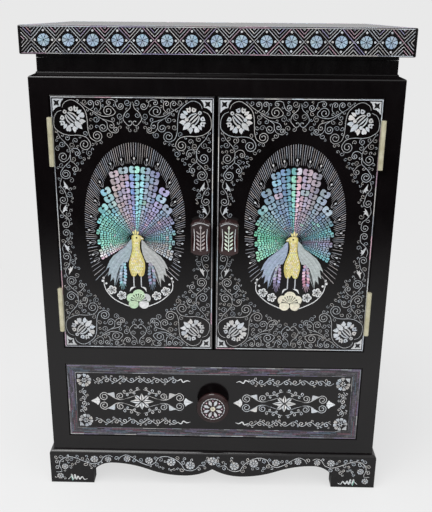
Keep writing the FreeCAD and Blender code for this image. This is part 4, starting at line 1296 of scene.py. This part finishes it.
def paint_floor():
    """Pale floor, even to the camera apart from the object's shadow. In reflections it dims towards the room."""
    paint = new_paint("pale_floor")
    paint.nodes.remove(paint.nodes["Principled BSDF"])
    place = paint.add("TexCoord", "Object", {})
    depth = paint.add("SeparateXYZ", "Y", {"Vector": place})
    dim = paint.spread(depth, 0, 1, -1.0, -0.3, "SMOOTHSTEP")
    matte = paint.add("BsdfDiffuse", "BSDF", {"Color": paint.ramp(dim, FLOOR_FAR, FLOOR_NEAR, 0, 1)})
    lit = paint.add("BsdfDiffuse", "BSDF", {"Color": FLOOR_LIT})
    glow = paint.add("Emission", "Emission", {"Color": PALE})
    away = paint.add("VectorMath", "Value", {0: place}, operation="LENGTH")
    fade = paint.spread(away, 0.78, 1, 0.15, 0.6, "SMOOTHSTEP")
    even = paint.add("MixShader", "Shader", {"Fac": fade, 1: lit, 2: glow})
    seen = paint.add("LightPath", "Is Camera Ray", {})
    surface = paint.add("MixShader", "Shader", {"Fac": seen, 1: matte, 2: even})
    paint.feed(paint.nodes["Material Output"], {"Surface": surface})
    return paint.owner


def stage_floor():
    floor = make_piece("floor", FLOOR_CORNERS, [(0, 1, 2, 3)], paint_floor())
    floor.location.z = FLOOR_LEVEL


def paint_world():
    """Pale all round to the camera and, above a dim room, to reflections. Other light comes from a soft sky."""
    world = bpy.data.worlds.new("studio")
    bpy.context.scene.world = world
    paint = Paint(world)
    place = paint.add("TexCoord", "Generated", {})
    level = paint.spread(paint.add("SeparateXYZ", "Z", {"Vector": place}), 0, 1, -0.05, 0.10)
    seen = paint.add("LightPath", "Is Camera Ray", {})
    mirrored = paint.add("Math", "Value", {0: paint.add("LightPath", "Is Glossy Ray", {}),
                                           1: paint.add("LightPath", "Is Transmission Ray", {})})

    def pick(factor, low, high):
        return paint.add("Mix", "Result", {"Factor": factor, "A": low, "B": high}, data_type="RGBA")

    room = pick(level, ROOM, pick(mirrored, SKY, PALE))
    paint.feed(paint.nodes["Background"], {"Color": pick(seen, room, PALE)})


def lamp(name, place, target, size, power):
    data = bpy.data.lights.new(name, "AREA")
    data.shape = "RECTANGLE"
    data.size, data.size_y = size
    data.energy = power
    light = bpy.data.objects.new(name, data)
    light.location = place
    light.rotation_euler = (Vector(target) - Vector(place)).to_track_quat("-Z", "Y").to_euler()
    bpy.context.collection.objects.link(light)


def set_camera():
    """Camera fitted to the photograph's viewpoint."""
    pitch, yaw, roll = (math.radians(angle) for angle in CAMERA_TURN)
    forward = Vector((math.sin(yaw) * math.cos(pitch), math.cos(yaw) * math.cos(pitch), -math.sin(pitch)))
    level = Vector((math.cos(yaw), -math.sin(yaw), 0))
    upright = level.cross(forward)
    right = math.cos(roll) * level + math.sin(roll) * upright
    up = math.cos(roll) * upright - math.sin(roll) * level
    data = bpy.data.cameras.new("camera")
    data.sensor_width = SENSOR
    data.lens = FOCAL / PHOTO_H * SENSOR
    data.shift_x = (PHOTO_W / 2 - VIEW_CENTRE[0]) / PHOTO_H
    data.shift_y = (VIEW_CENTRE[1] - PHOTO_H / 2) / PHOTO_H
    data.clip_start = 0.01
    camera = bpy.data.objects.new("camera", data)
    turn = Matrix((right, up, -forward)).transposed()
    camera.matrix_world = Matrix.Translation(CAMERA_AT) @ turn.to_4x4()
    bpy.context.collection.objects.link(camera)
    bpy.context.scene.camera = camera


stage_floor()
paint_world()
for settings in LAMPS:
    lamp(*settings)
set_camera()
bpy.context.scene.view_settings.view_transform = "Standard"
